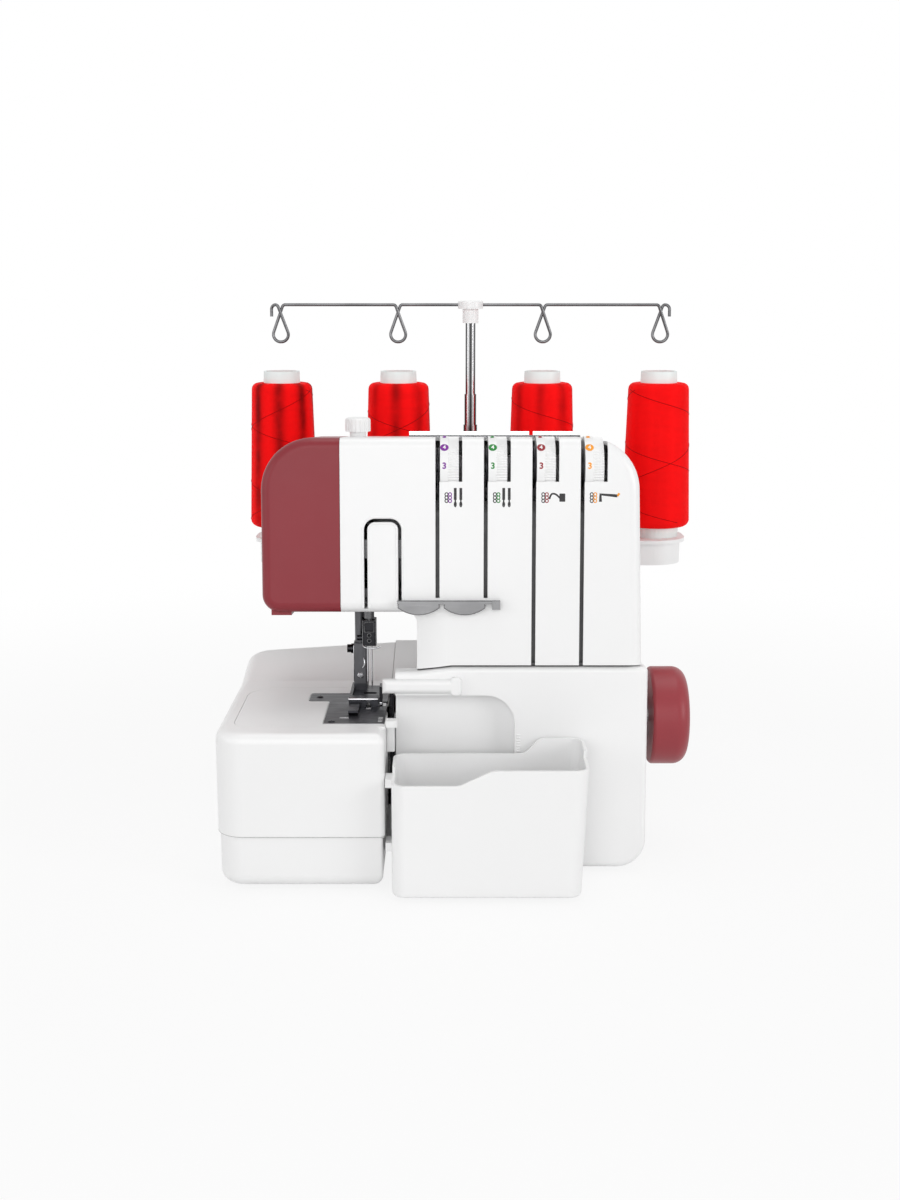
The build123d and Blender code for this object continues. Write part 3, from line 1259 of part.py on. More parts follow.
sole_top = BED_TOP + FOOT_SOLE
with BuildPart() as presser_foot:
    with BuildSketch(Plane.XY.offset(BED_TOP)):
        with Locations((FOOT_LEFT, FOOT_FRONT)):
            Rectangle(FOOT_RIGHT - FOOT_LEFT, FOOT_BACK - FOOT_FRONT, align=(Align.MIN, Align.MIN))
        with Locations((FOOT_LEFT + TOE_INSET, TOE_FRONT)):
            Rectangle(TOE_WIDTH, FOOT_FRONT - TOE_FRONT, align=(Align.MIN, Align.MIN))
        with Locations((NEEDLE_X, NEEDLE_Y)):
            SlotCenterToCenter(*FOOT_OPENING, mode=Mode.SUBTRACT)
        with Locations((NEEDLE_X, FOOT_FRONT)):
            Rectangle(*FOOT_SPLIT, align=(Align.CENTER, Align.MIN), mode=Mode.SUBTRACT)
    extrude(amount=FOOT_SOLE)
    chamfer(presser_foot.faces().sort_by(Axis.Y)[0].edges().group_by(Axis.Z)[0], FOOT_SOLE / 2)
    block(
        (PRESSER_X - ANKLE_WIDTH / 2, PRESSER_Y - ANKLE_DEPTH / 2, sole_top),
        (PRESSER_X + ANKLE_WIDTH / 2, PRESSER_Y + ANKLE_DEPTH / 2, ANKLE_BOTTOM),
    )
    block((FOOT_LEFT, FOOT_FRONT, sole_top), (FOOT_LEFT + FOOT_RIB[0], FOOT_BACK, sole_top + FOOT_RIB[1]))
    block(
        (FOOT_LEFT, FOOT_FRONT, sole_top),
        (FOOT_RIGHT, FOOT_FRONT + FOOT_BRIDGE[0], sole_top + FOOT_BRIDGE[1]),
    )
save(presser_foot, "presser_foot")

# Pressure knob and presser lever
with BuildPart() as pressure_knob:
    bar_z(KNOB_BOTTOM, KNOB_BOTTOM + KNOB_HEIGHT, PRESSER_X, PRESSER_Y, KNOB_RADIUS)
    fillet(pressure_knob.edges().sort_by(Axis.Z)[-1], KNOB_ROUND)
    with BuildSketch(Plane.XY.offset(KNOB_BOTTOM)):
        with Locations((PRESSER_X, PRESSER_Y)):
            with PolarLocations(KNOB_RADIUS + KNOB_FLUTE[0], KNOB_FLUTES):
                Circle(KNOB_FLUTE[1])
    extrude(amount=KNOB_HEIGHT, mode=Mode.SUBTRACT)
    bar_z(KNOB_BOTTOM - KNOB_STEM_LENGTH, KNOB_BOTTOM, PRESSER_X, PRESSER_Y, KNOB_STEM)
save(pressure_knob, "pressure_knob")

lever_top = LEVER_Z + LEVER_LENGTH + LEVER_DROOP
lever_back = FRONT.from_local_coords(Vector(0, lever_top, -TOWER_DEPTH)).Y + WALL
with BuildPart() as presser_lever:
    bar_y(PRESSER_Y - PRESSER_RADIUS, lever_back + LEVER_THICK, LEVER_X, LEVER_Z, LEVER_RADIUS)
    block(
        (PRESSER_X + COLLAR_RADIUS - LEVER_PAD[0], PRESSER_Y - PRESSER_RADIUS, LEVER_Z - LEVER_PAD[1]),
        (LEVER_X, PRESSER_Y + PRESSER_RADIUS, LEVER_Z + LEVER_PAD[1]),
    )
    with BuildSketch(Plane.XZ.offset(-lever_back - LEVER_THICK)):
        with Locations((LEVER_X, LEVER_Z)):
            Circle(LEVER_BOSS)
        with Locations((LEVER_X - LEVER_LENGTH, LEVER_Z - LEVER_DROOP)):
            Circle(LEVER_TIP)
        make_hull()
    extrude(amount=LEVER_THICK)
save(presser_lever, "presser_lever")

# Feed dog on its bar, knives, loopers and hem lever
with BuildPart() as feed_dog:
    dog_top = BED_TOP - SUNK
    tooth = (DOG_BACK - DOG_FRONT) / DOG_TEETH
    for x in dog_places:
        with BuildSketch(Plane.YZ.offset(x - DOG_WIDTH / 2)):
            with BuildLine():
                teeth = []
                for number in range(DOG_TEETH):
                    teeth.append((DOG_FRONT + tooth * number, dog_top - DOG_TOOTH))
                    teeth.append((DOG_FRONT + tooth * (number + DOG_RAKE), dog_top))
                Polyline(
                    (DOG_FRONT, FEED_BAR_Z[1]),
                    *teeth,
                    (DOG_BACK, dog_top - DOG_TOOTH),
                    (DOG_BACK, FEED_BAR_Z[1]),
                    close=True,
                )
            make_face()
        extrude(amount=DOG_WIDTH)
    block(
        (dog_places[0] - DOG_WIDTH / 2, DOG_FRONT, FEED_BAR_Z[0]),
        (dog_places[1] + DOG_WIDTH / 2, DOG_FRONT + DOG_TIE, FEED_BAR_Z[1]),
    )
    block((FEED_BAR[0], DOG_FRONT, FEED_BAR_Z[0]), (FEED_BAR[1], SPINE_FRONT - DOG_TRAVEL, FEED_BAR_Z[1]))
save(feed_dog, "feed_dog")

with BuildPart() as upper_knife:
    block((KNIFE_X, KNIFE_FRONT, BED_TOP + KNIFE_LAP), (KNIFE_X + KNIFE_THICK, KNIFE_BACK, KNIFE_ARM_Z[1]))
    block((KNIFE_X, KNIFE_FRONT, KNIFE_ARM_Z[0]), (KNIFE_ARM[1], KNIFE_BACK, KNIFE_ARM_Z[1]))
    block((KNIFE_ARM[0], KNIFE_FRONT, KNIFE_ARM_FOOT), (KNIFE_ARM[1], KNIFE_BACK, KNIFE_ARM_Z[0]))
save(upper_knife, "upper_knife")

with BuildPart() as lower_knife:
    block(
        (BED_RIGHT - LOWER_KNIFE[0], KNIFE_FRONT, frame_top),
        (BED_RIGHT - LOWER_KNIFE[1], KNIFE_BACK - KNIFE_THICK, BED_TOP - SUNK),
    )
save(lower_knife, "lower_knife")


def looper_blade(pivot, bend, tip):
    """Return a looper's blade as a sketch of thick runs from its pivot to its tip."""
    with BuildSketch(Plane.XZ) as blade:
        with BuildLine() as path:
            route = [(pivot[0] + point[0], pivot[1] + point[1]) for point in (bend, tip)]
            FilletPolyline(pivot, *route, radius=2 * LOOPER_WIDTH)
        trace(path.line, LOOPER_WIDTH)
        with Locations(pivot):
            Circle(LOOPER_SHAFT + LOOPER_COLLAR)
    return blade.sketch


for name, pivot, front, bend, tip in (
    ("upper_looper", (UPPER_LOOPER_X, UPPER_LOOPER_Z), UPPER_LOOPER_Y, UPPER_LOOPER_BEND, UPPER_LOOPER_TIP),
    ("lower_looper", (LOWER_LOOPER_X, LOWER_LOOPER_Z), LOWER_LOOPER_Y, LOWER_LOOPER_BEND, LOWER_LOOPER_TIP),
):
    with BuildPart() as looper:
        with Locations((0, front, 0)):
            add(extrude(looper_blade(pivot, bend, tip), amount=LOOPER_WIDTH, mode=Mode.PRIVATE))
        bar_y(front - LOOPER_NOSE, SPINE_FRONT - LOOPER_END, *pivot, LOOPER_SHAFT)
    save(looper, name)

with BuildPart() as hem_lever:
    block(
        (BED_RIGHT + SEAM, HEM_FRONT, BED_TOP + HEM_RISE - HEM_TAB[2]),
        (BED_RIGHT + SEAM + HEM_TAB[0], HEM_FRONT + HEM_TAB[1], BED_TOP + HEM_RISE),
    )
    fillet(hem_lever.edges().filter_by(Axis.Z).sort_by(Axis.X)[-2:], HEM_ROUND)
save(hem_lever, "hem_lever")

# Tension units: dials, discs on their posts and the dark channels behind the slots
for number, slot_x in enumerate(SLOTS, start=1):
    dial_left = slot_x + SLOT_WIDTH / 2 + DIAL_GAP
    with BuildPart() as tension_dial:
        bar_x(dial_left, dial_left + DIAL_FIGURES, dial_y, dial_z, DIAL_RADIUS)
        with BuildSketch(Plane.YZ.offset(dial_left + DIAL_FIGURES)):
            with Locations((dial_y, dial_z)):
                Polygon(*ridged(DIAL_RADIUS - RIDGE_DROP, RIDGE_DEPTH, DIAL_RIDGES), align=None)
        extrude(amount=DIAL_WIDTH - DIAL_FIGURES)
        bar_x(dial_left, dial_left + DIAL_WIDTH, dial_y, dial_z, POST_RADIUS + RUN, mode=Mode.SUBTRACT)
    save(tension_dial, f"tension_dial_{number}")

with BuildPart() as tension_discs:
    for slot_x in SLOTS:
        bar_x(slot_x - POST_REACH, slot_x + DIAL_WIDTH, dial_y, dial_z, POST_RADIUS)
        for place in DISC_PLACES:
            bar_x(slot_x + place, slot_x + place + DISC_THICK, dial_y, dial_z, DISC_RADIUS)
save(tension_discs, "tension_discs")

channel_top = DIAL_V - DIAL_RADIUS - SEAM
with BuildPart() as thread_channels:
    for slot_x, slot_foot in zip(SLOTS, slot_feet):
        half = SLOT_WIDTH / 2
        channel_foot = max(slot_foot, COVER_TOP + COVER_GAP + CHANNEL_WALL)
        front_cut(
            slot_x - half - CHANNEL_WALL,
            slot_x + half + CHANNEL_WALL,
            channel_foot - CHANNEL_WALL,
            channel_top,
            CHANNEL_DEPTH,
            start=-WALL,
            mode=Mode.ADD,
        )
        front_cut(
            slot_x - half,
            slot_x + half,
            channel_foot,
            channel_top + WALL,
            CHANNEL_DEPTH - CHANNEL_WALL,
            start=-WALL,
        )
save(thread_channels, "thread_channels")

# Thread guides on the tower's top and at the foot of the short slots
with BuildPart() as top_thread_guide:
    front_cut(
        TOP_GUIDE_LEFT,
        TOP_GUIDE_RIGHT,
        TOWER_TOP,
        TOWER_TOP + TOP_GUIDE_SHEET,
        TOP_GUIDE_DEPTH,
        start=-TOP_GUIDE_BACK + TOP_GUIDE_DEPTH,
        mode=Mode.ADD,
    )
    front_cut(
        TOP_GUIDE_LEFT,
        TOP_GUIDE_RIGHT,
        TOWER_TOP,
        TOWER_TOP + TOP_GUIDE_RISE,
        TOP_GUIDE_SHEET,
        start=-TOP_GUIDE_BACK + TOP_GUIDE_SHEET,
        mode=Mode.ADD,
    )
    for slot_x in SLOTS:
        front_cut(
            slot_x - SLOT_WIDTH / 2,
            slot_x + SLOT_WIDTH / 2,
            TOWER_TOP + TOP_GUIDE_SHEET,
            TOWER_TOP + 2 * TOP_GUIDE_RISE,
            2 * TOP_GUIDE_DEPTH,
            start=-TOP_GUIDE_BACK + 2 * TOP_GUIDE_SHEET,
        )
save(top_thread_guide, "top_thread_guide")

with BuildPart() as low_thread_guide:
    front_cut(
        LOW_GUIDE_LEFT,
        LOW_GUIDE_RIGHT,
        LOW_GUIDE_TOP - LOW_GUIDE_STRIP,
        LOW_GUIDE_TOP,
        LOW_GUIDE_PROUD,
        start=LOW_GUIDE_PROUD,
        mode=Mode.ADD,
    )
    strip_foot = LOW_GUIDE_TOP - LOW_GUIDE_STRIP
    for scoop_x in SCOOP_CENTRES:
        left = (scoop_x - SCOOP_WIDTH / 2, strip_foot - SCOOP_SIDE)
        right = (scoop_x + SCOOP_WIDTH / 2, strip_foot - SCOOP_SIDE)
        with BuildSketch(FRONT):
            with BuildLine():
                ThreePointArc(left, (scoop_x, strip_foot - SCOOP_DROP), right)
                Polyline(right, (right[0], strip_foot), (left[0], strip_foot), left)
            make_face()
        extrude(amount=LOW_GUIDE_PROUD)
    front_cut(
        LOW_GUIDE_RIGHT - GUIDE_HOOK[0],
        LOW_GUIDE_RIGHT,
        LOW_GUIDE_TOP - GUIDE_HOOK[1],
        LOW_GUIDE_TOP,
        LOW_GUIDE_PROUD + GUIDE_HOOK[2],
        start=LOW_GUIDE_PROUD + GUIDE_HOOK[2],
        mode=Mode.ADD,
    )
save(low_thread_guide, "low_thread_guide")

# Controls on the right end: two dials, rocker switch and power inlet
for spindle_y, name in zip(spindles, ("stitch_length_dial", "feed_dial")):
    with BuildPart() as side_dial:
        bar_x(BASE_RIGHT + SEAM, BASE_RIGHT + SIDE_DIAL_PROUD, spindle_y, SIDE_DIAL_Z, SIDE_DIAL_RADIUS)
        fillet(side_dial.edges().sort_by(Axis.X)[-1], SIDE_DIAL_ROUND)
        with BuildSketch(Plane.YZ.offset(BASE_RIGHT + SIDE_DIAL_RIM)):
            with Locations((spindle_y, SIDE_DIAL_Z)):
                with PolarLocations(SIDE_DIAL_RADIUS + SIDE_DIAL_FLUTE[0], KNOB_FLUTES):
                    Circle(SIDE_DIAL_FLUTE[1])
        extrude(amount=SIDE_DIAL_PROUD, mode=Mode.SUBTRACT)
        bar_x(BASE_RIGHT - SPINDLE_LENGTH, BASE_RIGHT + SEAM, spindle_y, SIDE_DIAL_Z, SPINDLE_RADIUS)
    save(side_dial, name)

with BuildPart() as power_switch:
    with BuildSketch(Plane.XZ.offset(-SWITCH_Y - SWITCH_SIZE[0] / 2 + SEAM)):
        half = SWITCH_SIZE[1] / 2 - 2 * SEAM
        with BuildLine():
            Polyline(
                (BASE_RIGHT - 2 * WALL, SWITCH_Z - half),
                (BASE_RIGHT + SWITCH_FACE[0], SWITCH_Z - half),
                (BASE_RIGHT + SWITCH_FACE[1], SWITCH_Z),
                (BASE_RIGHT + SWITCH_FACE[0], SWITCH_Z + half),
                (BASE_RIGHT - 2 * WALL, SWITCH_Z + half),
                close=True,
            )
        make_face()
    extrude(amount=SWITCH_SIZE[0] - 2 * SEAM)
    bar_y(switch_span[0] + SEAM, switch_span[1] - SEAM, switch_x, SWITCH_Z, SWITCH_PIN[0])
save(power_switch, "power_switch")

with BuildPart() as power_inlet:
    with BuildSketch(Plane.YZ.offset(BASE_RIGHT - INLET_DEPTH)):
        with Locations((INLET_Y, INLET_Z)):
            Rectangle(INLET_SIZE[0] - 2 * SEAM, INLET_SIZE[1] - 2 * SEAM)
    extrude(amount=INLET_DEPTH)
    with BuildSketch(Plane.YZ.offset(BASE_RIGHT)):
        with Locations((INLET_Y, INLET_Z)):
            RectangleRounded(
                INLET_SIZE[0] + 2 * INLET_FLANGE[0],
                INLET_SIZE[1] + 2 * INLET_FLANGE[0],
                INLET_FLANGE[0],
            )
    extrude(amount=INLET_FLANGE[1])
    with BuildSketch(Plane.YZ.offset(BASE_RIGHT + INLET_FLANGE[1])):
        with Locations((INLET_Y, INLET_Z)):
            Rectangle(INLET_SIZE[0] - 2 * INLET_WALL[0], INLET_SIZE[1] - 2 * INLET_WALL[1])
    extrude(amount=-INLET_DEPTH, mode=Mode.SUBTRACT)
save(power_inlet, "power_inlet")

# Spool tray with its neck to the tower's back
with BuildPart() as spool_tray:
    tray_foot = TRAY_TOP - TRAY_HEIGHT
    for bottom, height, inset, mode in (
        (TRAY_TOP - TRAY_PLATE, TRAY_PLATE, 0.0, Mode.ADD),
        (tray_foot, TRAY_HEIGHT - TRAY_PLATE, TRAY_LIP, Mode.ADD),
        (tray_foot, TRAY_HEIGHT - TRAY_PLATE, TRAY_LIP + WALL, Mode.SUBTRACT),
    ):
        with BuildSketch(Plane.XY.offset(bottom)):
            with Locations((0, (TRAY_FRONT + TRAY_BACK) / 2)):
                RectangleRounded(
                    2 * (TRAY_HALF - inset),
                    TRAY_BACK - TRAY_FRONT - 2 * inset,
                    TRAY_CORNER - inset,
                )
        extrude(amount=height, mode=mode)
    block((-NECK_HALF, 0.0, tray_foot), (NECK_HALF, TRAY_FRONT + TRAY_LIP + WALL, TRAY_TOP - TRAY_PLATE))
    with BuildSketch(FRONT.offset(-TOWER_DEPTH - SEAM)):
        Rectangle(4 * TRAY_HALF, 4 * TOWER_TOP)
    extrude(amount=TOWER_DEPTH, mode=Mode.SUBTRACT)
save(spool_tray, "spool_tray")

# Spool holders, cone cores and thread packages
holder_top = TRAY_TOP + HOLDER_DISC


def core_radius(height):
    """Return the core's outer radius at a height."""
    share = (height - holder_top) / (CORE_TOP - holder_top)
    return CORE_FOOT_RADIUS + share * (CORE_TOP_RADIUS - CORE_FOOT_RADIUS)


def turned(x, y, *profile, radii):
    """Add a ring turned about a vertical axis from a profile of (radius, height) points."""
    with BuildSketch(Plane.XZ.offset(-y)) as section:
        with BuildLine():
            FilletPolyline(*[(x + radius, height) for radius, height in profile], radius=radii, close=True)
        make_face()
    revolve(section.sketch, axis=Axis((x, y, 0), (0, 0, 1)))


with BuildPart() as spool_holders:
    for x in CONES:
        bar_z(TRAY_TOP, holder_top, x, CONE_Y, HOLDER_RADIUS)
        bar_z(holder_top, holder_top + HOLDER_PLUG_HEIGHT, x, CONE_Y, HOLDER_PLUG)
        bar_z(holder_top + HOLDER_PLUG_HEIGHT, PIN_TOP, x, CONE_Y, PIN_RADIUS)
save(spool_holders, "spool_holders")

with BuildPart() as cone_cores:
    for x in CONES:
        turned(
            x,
            CONE_Y,
            (CORE_FOOT_RADIUS - CORE_WALL, holder_top),
            (CORE_FOOT_RADIUS, holder_top),
            (CORE_TOP_RADIUS, CORE_TOP),
            (CORE_TOP_RADIUS - CORE_WALL, CORE_TOP),
            radii=0,
        )
save(cone_cores, "cone_cores")

with BuildPart() as thread_cones:
    for x in CONES:
        turned(
            x,
            CONE_Y,
            (core_radius(THREAD_FOOT) + RUN, THREAD_FOOT),
            (THREAD_FOOT_RADIUS, THREAD_FOOT),
            (THREAD_TOP_RADIUS, THREAD_TOP),
            (core_radius(THREAD_TOP) + RUN, THREAD_TOP),
            radii=(0, THREAD_ROUND, THREAD_ROUND, 0),
        )
save(thread_cones, "thread_cones")

# Telescopic pole, cap and thread guide bar
with BuildPart() as pole_lower:
    bar_z(TRAY_TOP, POLE_LOWER_TOP, 0, CONE_Y, POLE_LOWER_RADIUS)
    bar_z(TRAY_TOP + POLE_FLOOR, POLE_LOWER_TOP, 0, CONE_Y, POLE_MIDDLE_RADIUS + POLE_GAP, mode=Mode.SUBTRACT)
save(pole_lower, "pole_lower")

middle_foot = POLE_LOWER_TOP - POLE_OVERLAP
with BuildPart() as pole_middle:
    bar_z(middle_foot, POLE_MIDDLE_TOP, 0, CONE_Y, POLE_MIDDLE_RADIUS)
    bar_z(middle_foot, POLE_MIDDLE_TOP, 0, CONE_Y, POLE_UPPER_RADIUS + POLE_GAP, mode=Mode.SUBTRACT)
save(pole_middle, "pole_middle")

with BuildPart() as pole_upper:
    bar_z(POLE_MIDDLE_TOP - POLE_OVERLAP, POLE_UPPER_TOP, 0, CONE_Y, POLE_UPPER_RADIUS)
save(pole_upper, "pole_upper")

with BuildPart() as pole_cap:
    bar_z(POLE_UPPER_TOP, CAP_TOP - CAP_DISC, 0, CONE_Y, CAP_NECK)
    bar_z(CAP_TOP - CAP_DISC, CAP_TOP, 0, CONE_Y, CAP_RADIUS)
    fillet(pole_cap.edges().sort_by(Axis.Z)[-1], CAP_ROUND)
    bar_x(-CAP_RADIUS, CAP_RADIUS, CONE_Y, WIRE_Z, WIRE_RADIUS + WIRE_FIT, mode=Mode.SUBTRACT)
save(pole_cap, "pole_cap")

with BuildPart() as thread_guide_bar:
    route = [(-WIRE_HALF, CONE_Y, WIRE_Z - WIRE_HOOK), (-WIRE_HALF, CONE_Y, WIRE_Z)]
    bends = [3 * WIRE_RADIUS]
    for x in CONES:
        route.append((x - EYE_NECK, CONE_Y - EYE_TWIST, WIRE_Z))
        route.append((x + EYE_HALF, CONE_Y, WIRE_Z - EYE_DROP))
        route.append((x - EYE_HALF, CONE_Y, WIRE_Z - EYE_DROP))
        route.append((x + EYE_NECK, CONE_Y + EYE_TWIST, WIRE_Z))
        bends += [2 * WIRE_RADIUS, EYE_ROUND, EYE_ROUND, 2 * WIRE_RADIUS]
    route += [(WIRE_HALF, CONE_Y, WIRE_Z), (WIRE_HALF, CONE_Y, WIRE_Z - WIRE_HOOK)]
    bends.append(3 * WIRE_RADIUS)
    with BuildLine() as wire:
        FilletPolyline(*route, radius=bends)
    with BuildSketch(Plane(origin=wire.line @ 0, z_dir=wire.line % 0)):
        Circle(WIRE_RADIUS)
    sweep()
save(thread_guide_bar, "thread_guide_bar")
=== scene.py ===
"""Looks of the four-thread overlock machine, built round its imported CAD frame.

The CAD nodes keep their places and shapes. This script gives every node a finish, stands
wound packages in for the plain thread cones, and adds what the solids leave out: dial figures,
printed signs, screws, rims, seam lines, grips, and the small fittings of the sewing head and
the right end.
"""

import json
import logging
import math
from abc import ABC, abstractmethod
from collections.abc import Iterator, Mapping, Sequence
from contextlib import contextmanager
from dataclasses import dataclass
from enum import Enum

import bpy
from mathutils import Matrix, Vector


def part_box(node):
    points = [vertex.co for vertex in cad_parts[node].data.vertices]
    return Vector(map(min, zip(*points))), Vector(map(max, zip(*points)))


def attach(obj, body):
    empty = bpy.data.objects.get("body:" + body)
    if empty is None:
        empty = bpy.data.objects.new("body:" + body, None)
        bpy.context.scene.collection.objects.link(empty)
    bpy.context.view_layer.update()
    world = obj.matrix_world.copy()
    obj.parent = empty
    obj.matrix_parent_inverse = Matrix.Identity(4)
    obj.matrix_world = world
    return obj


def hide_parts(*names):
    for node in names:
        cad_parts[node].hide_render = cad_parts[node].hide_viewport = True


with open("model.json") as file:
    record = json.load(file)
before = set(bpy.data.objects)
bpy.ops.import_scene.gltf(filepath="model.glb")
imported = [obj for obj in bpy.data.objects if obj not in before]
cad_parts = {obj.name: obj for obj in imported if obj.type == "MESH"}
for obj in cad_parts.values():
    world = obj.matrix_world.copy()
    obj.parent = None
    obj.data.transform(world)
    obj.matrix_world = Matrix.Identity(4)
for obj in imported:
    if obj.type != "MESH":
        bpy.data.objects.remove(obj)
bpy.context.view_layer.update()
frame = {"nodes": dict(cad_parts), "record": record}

LOG = logging.getLogger("overlock")
Colour = tuple[float, float, float]
Point = tuple[float, float, float]
Pair = tuple[float, float]
Block = tuple[Point, Point]
Piece = bpy.types.Object
Socket = bpy.types.NodeSocket
Inputs = Mapping[str | int, object]
MM = 0.001
QUARTER = math.pi / 2
MERGE = 1e-7
LOOP_STEPS = 14
CURVE_ORDER = 3
CURVE_STEPS = 4
FIGURE_BOLD = 0.035
FIGURE_SCALE = 1.4
NOISE_RANGE: Pair = (0.3, 0.7)
# Faces that meet at less than these angles in degrees are shaded smooth.
TURNED_CREASE = 32.0
PART_CREASE = 40.0
BLOCK_CREASE = 50.0
LINE_CREASE = 60.0
STRAND_CREASE = 80.0


class Slot(Enum):
    """Material slots of the record."""

    WHITE_PLASTIC = "white_plastic"
    RED_PLASTIC = "red_plastic"
    RED_THREAD = "red_thread"
    BRIGHT_STEEL = "bright_steel"
    POLISHED_STEEL = "polished_steel"
    DARK_STEEL = "dark_steel"
    BLACK_PLASTIC = "black_plastic"
    RUBBER = "rubber"
    CAST_ALLOY = "cast_alloy"
    BRONZE = "bronze"
    LAMP_LENS = "lamp_lens"
    MOTOR_PAINT = "motor_paint"


class Axis(Enum):
    """Axes that a turned piece can stand on."""

    X = (0.0, QUARTER, 0.0)
    Y = (QUARTER, 0.0, 0.0)
    Z = (0.0, 0.0, 0.0)


class Mixed(Enum):
    """What a Mix node mixes: its data type, the numbers of its two inputs and of its output."""

    VALUES = ("FLOAT", 2, 3, 0)
    COLOURS = ("RGBA", 6, 7, 2)


class SignTool(Enum):
    """Tools that the threading signs show."""

    NEEDLES = "needles"
    HOOK = "hook"
    LOOPER = "looper"


class NodeTree:
    """A node tree with short calls for the nodes that the finishes and the studio use."""

    def __init__(self, tree: bpy.types.NodeTree) -> None:
        """Take up the tree of a material or a world."""
        self.nodes = tree.nodes
        self.links = tree.links

    def fill(self, node: bpy.types.Node, inputs: Inputs) -> None:
        """Give a node its inputs.

        Args:
            node: The node to fill.
            inputs: A socket to link or a constant to set, by the input's name or number.
        """
        for key, value in inputs.items():
            if isinstance(value, Socket):
                self.links.new(value, node.inputs[key])
            else:
                node.inputs[key].default_value = value

    def add(self, kind: str, inputs: Inputs | None = None, **options: object) -> bpy.types.Node:
        """Add a node with its options and inputs.

        Args:
            kind: The node's type name without its ShaderNode prefix.
            inputs: Its inputs, as fill takes them.
            options: Its properties, by name.

        Returns:
            The new node.
        """
        node = self.nodes.new("ShaderNode" + kind)
        for key, value in options.items():
            setattr(node, key, value)
        self.fill(node, inputs or {})
        return node

    def math(self, operation: str, *values: Socket | float) -> Socket:
        """Return the result of a math node on one to three sockets or numbers."""
        return self.add("Math", dict(enumerate(values)), operation=operation).outputs["Value"]

    def remap(self, value: Socket, start: Pair, end: Pair, **options: object) -> Socket:
        """Map a value from one range onto another.

        Args:
            value: The value's socket.
            start: The range that it comes in.
            end: The range that it leaves in.
            options: Properties of the node, by name.

        Returns:
            The mapped value's socket.
        """
        limits = zip(("From Min", "From Max", "To Min", "To Max"), (*start, *end))
        node = self.add("MapRange", {"Value": value, **dict(limits)}, **options)
        return node.outputs["Result"]


class SurfaceTree(NodeTree):
    """A material's node tree, with its surface shader and the patterns that finishes share."""

    def __init__(self, name: str) -> None:
        """Start an empty material with its surface shader.

        Args:
            name: The material's name.
        """
        self.material = bpy.data.materials.new(name)
        self.material.use_nodes = True
        super().__init__(self.material.node_tree)
        self.shader = self.nodes["Principled BSDF"]
        self.place = self.add("TexCoord").outputs["Object"]

    def surface(self, **inputs: object) -> None:
        """Fill the surface shader's inputs, with _ for a blank in an input's name."""
        self.fill(self.shader, {key.replace("_", " "): value for key, value in inputs.items()})

    def noise(self, scale: float, detail: float = 3.0, stretch: Point = (1, 1, 1)) -> Socket:
        """Add a noise pattern on the piece's own coordinates.

        Args:
            scale: Features in a metre.
            detail: Octaves of finer noise.
            stretch: Scale along each axis, for a brushed grain.

        Returns:
            The noise value's socket.
        """
        mapping = self.add("Mapping", {"Vector": self.place, "Scale": stretch})
        inputs = {"Vector": mapping.outputs["Vector"], "Scale": scale, "Detail": detail}
        return self.add("TexNoise", inputs).outputs["Fac"]

    def parts(self) -> Mapping[str, Socket]:
        """Return the sockets of the place along X, Y and Z."""
        return self.add("SeparateXYZ", {"Vector": self.place}).outputs

    def turn(self, centre: Pair) -> tuple[Socket, Socket]:
        """Measure the angle round an upright axis and the height.

        Args:
            centre: The axis's place in X and Y.

        Returns:
            The angle's socket in radians and the height's socket in metres.
        """
        parts = self.parts()
        x, y = (self.math("SUBTRACT", parts[axis], middle) for axis, middle in zip("XY", centre))
        return self.math("ARCTAN2", y, x), parts["Z"]

    def ripple(self, angle: Socket, shift: float = 0.0) -> Socket:
        """Return a cosine of an angle, lifted to run from 0 to 1."""
        wave = self.math("COSINE", self.math("ADD", angle, shift))
        return self.math("MULTIPLY_ADD", wave, 0.5, 0.5)

    def spread(self, noise: Socket, low: float = 0.0, high: float = 1.0) -> Socket:
        """Return a noise value, spread between two numbers."""
        return self.remap(noise, NOISE_RANGE, (low, high))

    def mix(self, kind: Mixed, share: Socket, first: object, second: object) -> Socket:
        """Mix two values or two colours by a share.

        Args:
            kind: What is mixed.
            share: Socket that runs from 0, all of the first, to 1, all of the second.
            first: Socket or constant at 0.
            second: Socket or constant at 1.

        Returns:
            The mixture's socket.
        """
        data_type, low, high, result = kind.value
        node = self.add("Mix", {"Factor": share, low: first, high: second}, data_type=data_type)
        return node.outputs[result]

    def tint(self, share: Socket, first: Colour, second: Colour) -> Socket:
        """Mix two colours by a share that runs from 0, the first, to 1, the second."""
        return self.mix(Mixed.COLOURS, share, (*first, 1.0), (*second, 1.0))

    def relief(self, height: Socket, depth: float, strength: float) -> None:
        """Raise the surface by a height pattern.

        Args:
            height: The pattern's socket.
            depth: Depth of the relief in metres.
            strength: Share of the relief that shows.
        """
        bump = self.add("Bump", {"Height": height, "Distance": depth, "Strength": strength})
        self.surface(Normal=bump.outputs["Normal"])


def shade(colour: Colour, factor: float) -> Colour:
    """Return a colour made darker or lighter by a factor."""
    return tuple(min(1.0, part * factor) for part in colour)


class Finish(ABC):
    """A surface finish that makes its material once."""

    name: str

    @abstractmethod
    def dress(self, tree: SurfaceTree) -> None:
        """Build the finish's nodes in a new tree.

        Args:
            tree: The new material's tree.
        """

    def material(self) -> bpy.types.Material:
        """Make the finish's material at its first use.

        Returns:
            The material.
        """
        found = bpy.data.materials.get(self.name)
        if found:
            return found
        tree = SurfaceTree(self.name)
        self.dress(tree)
        return tree.material


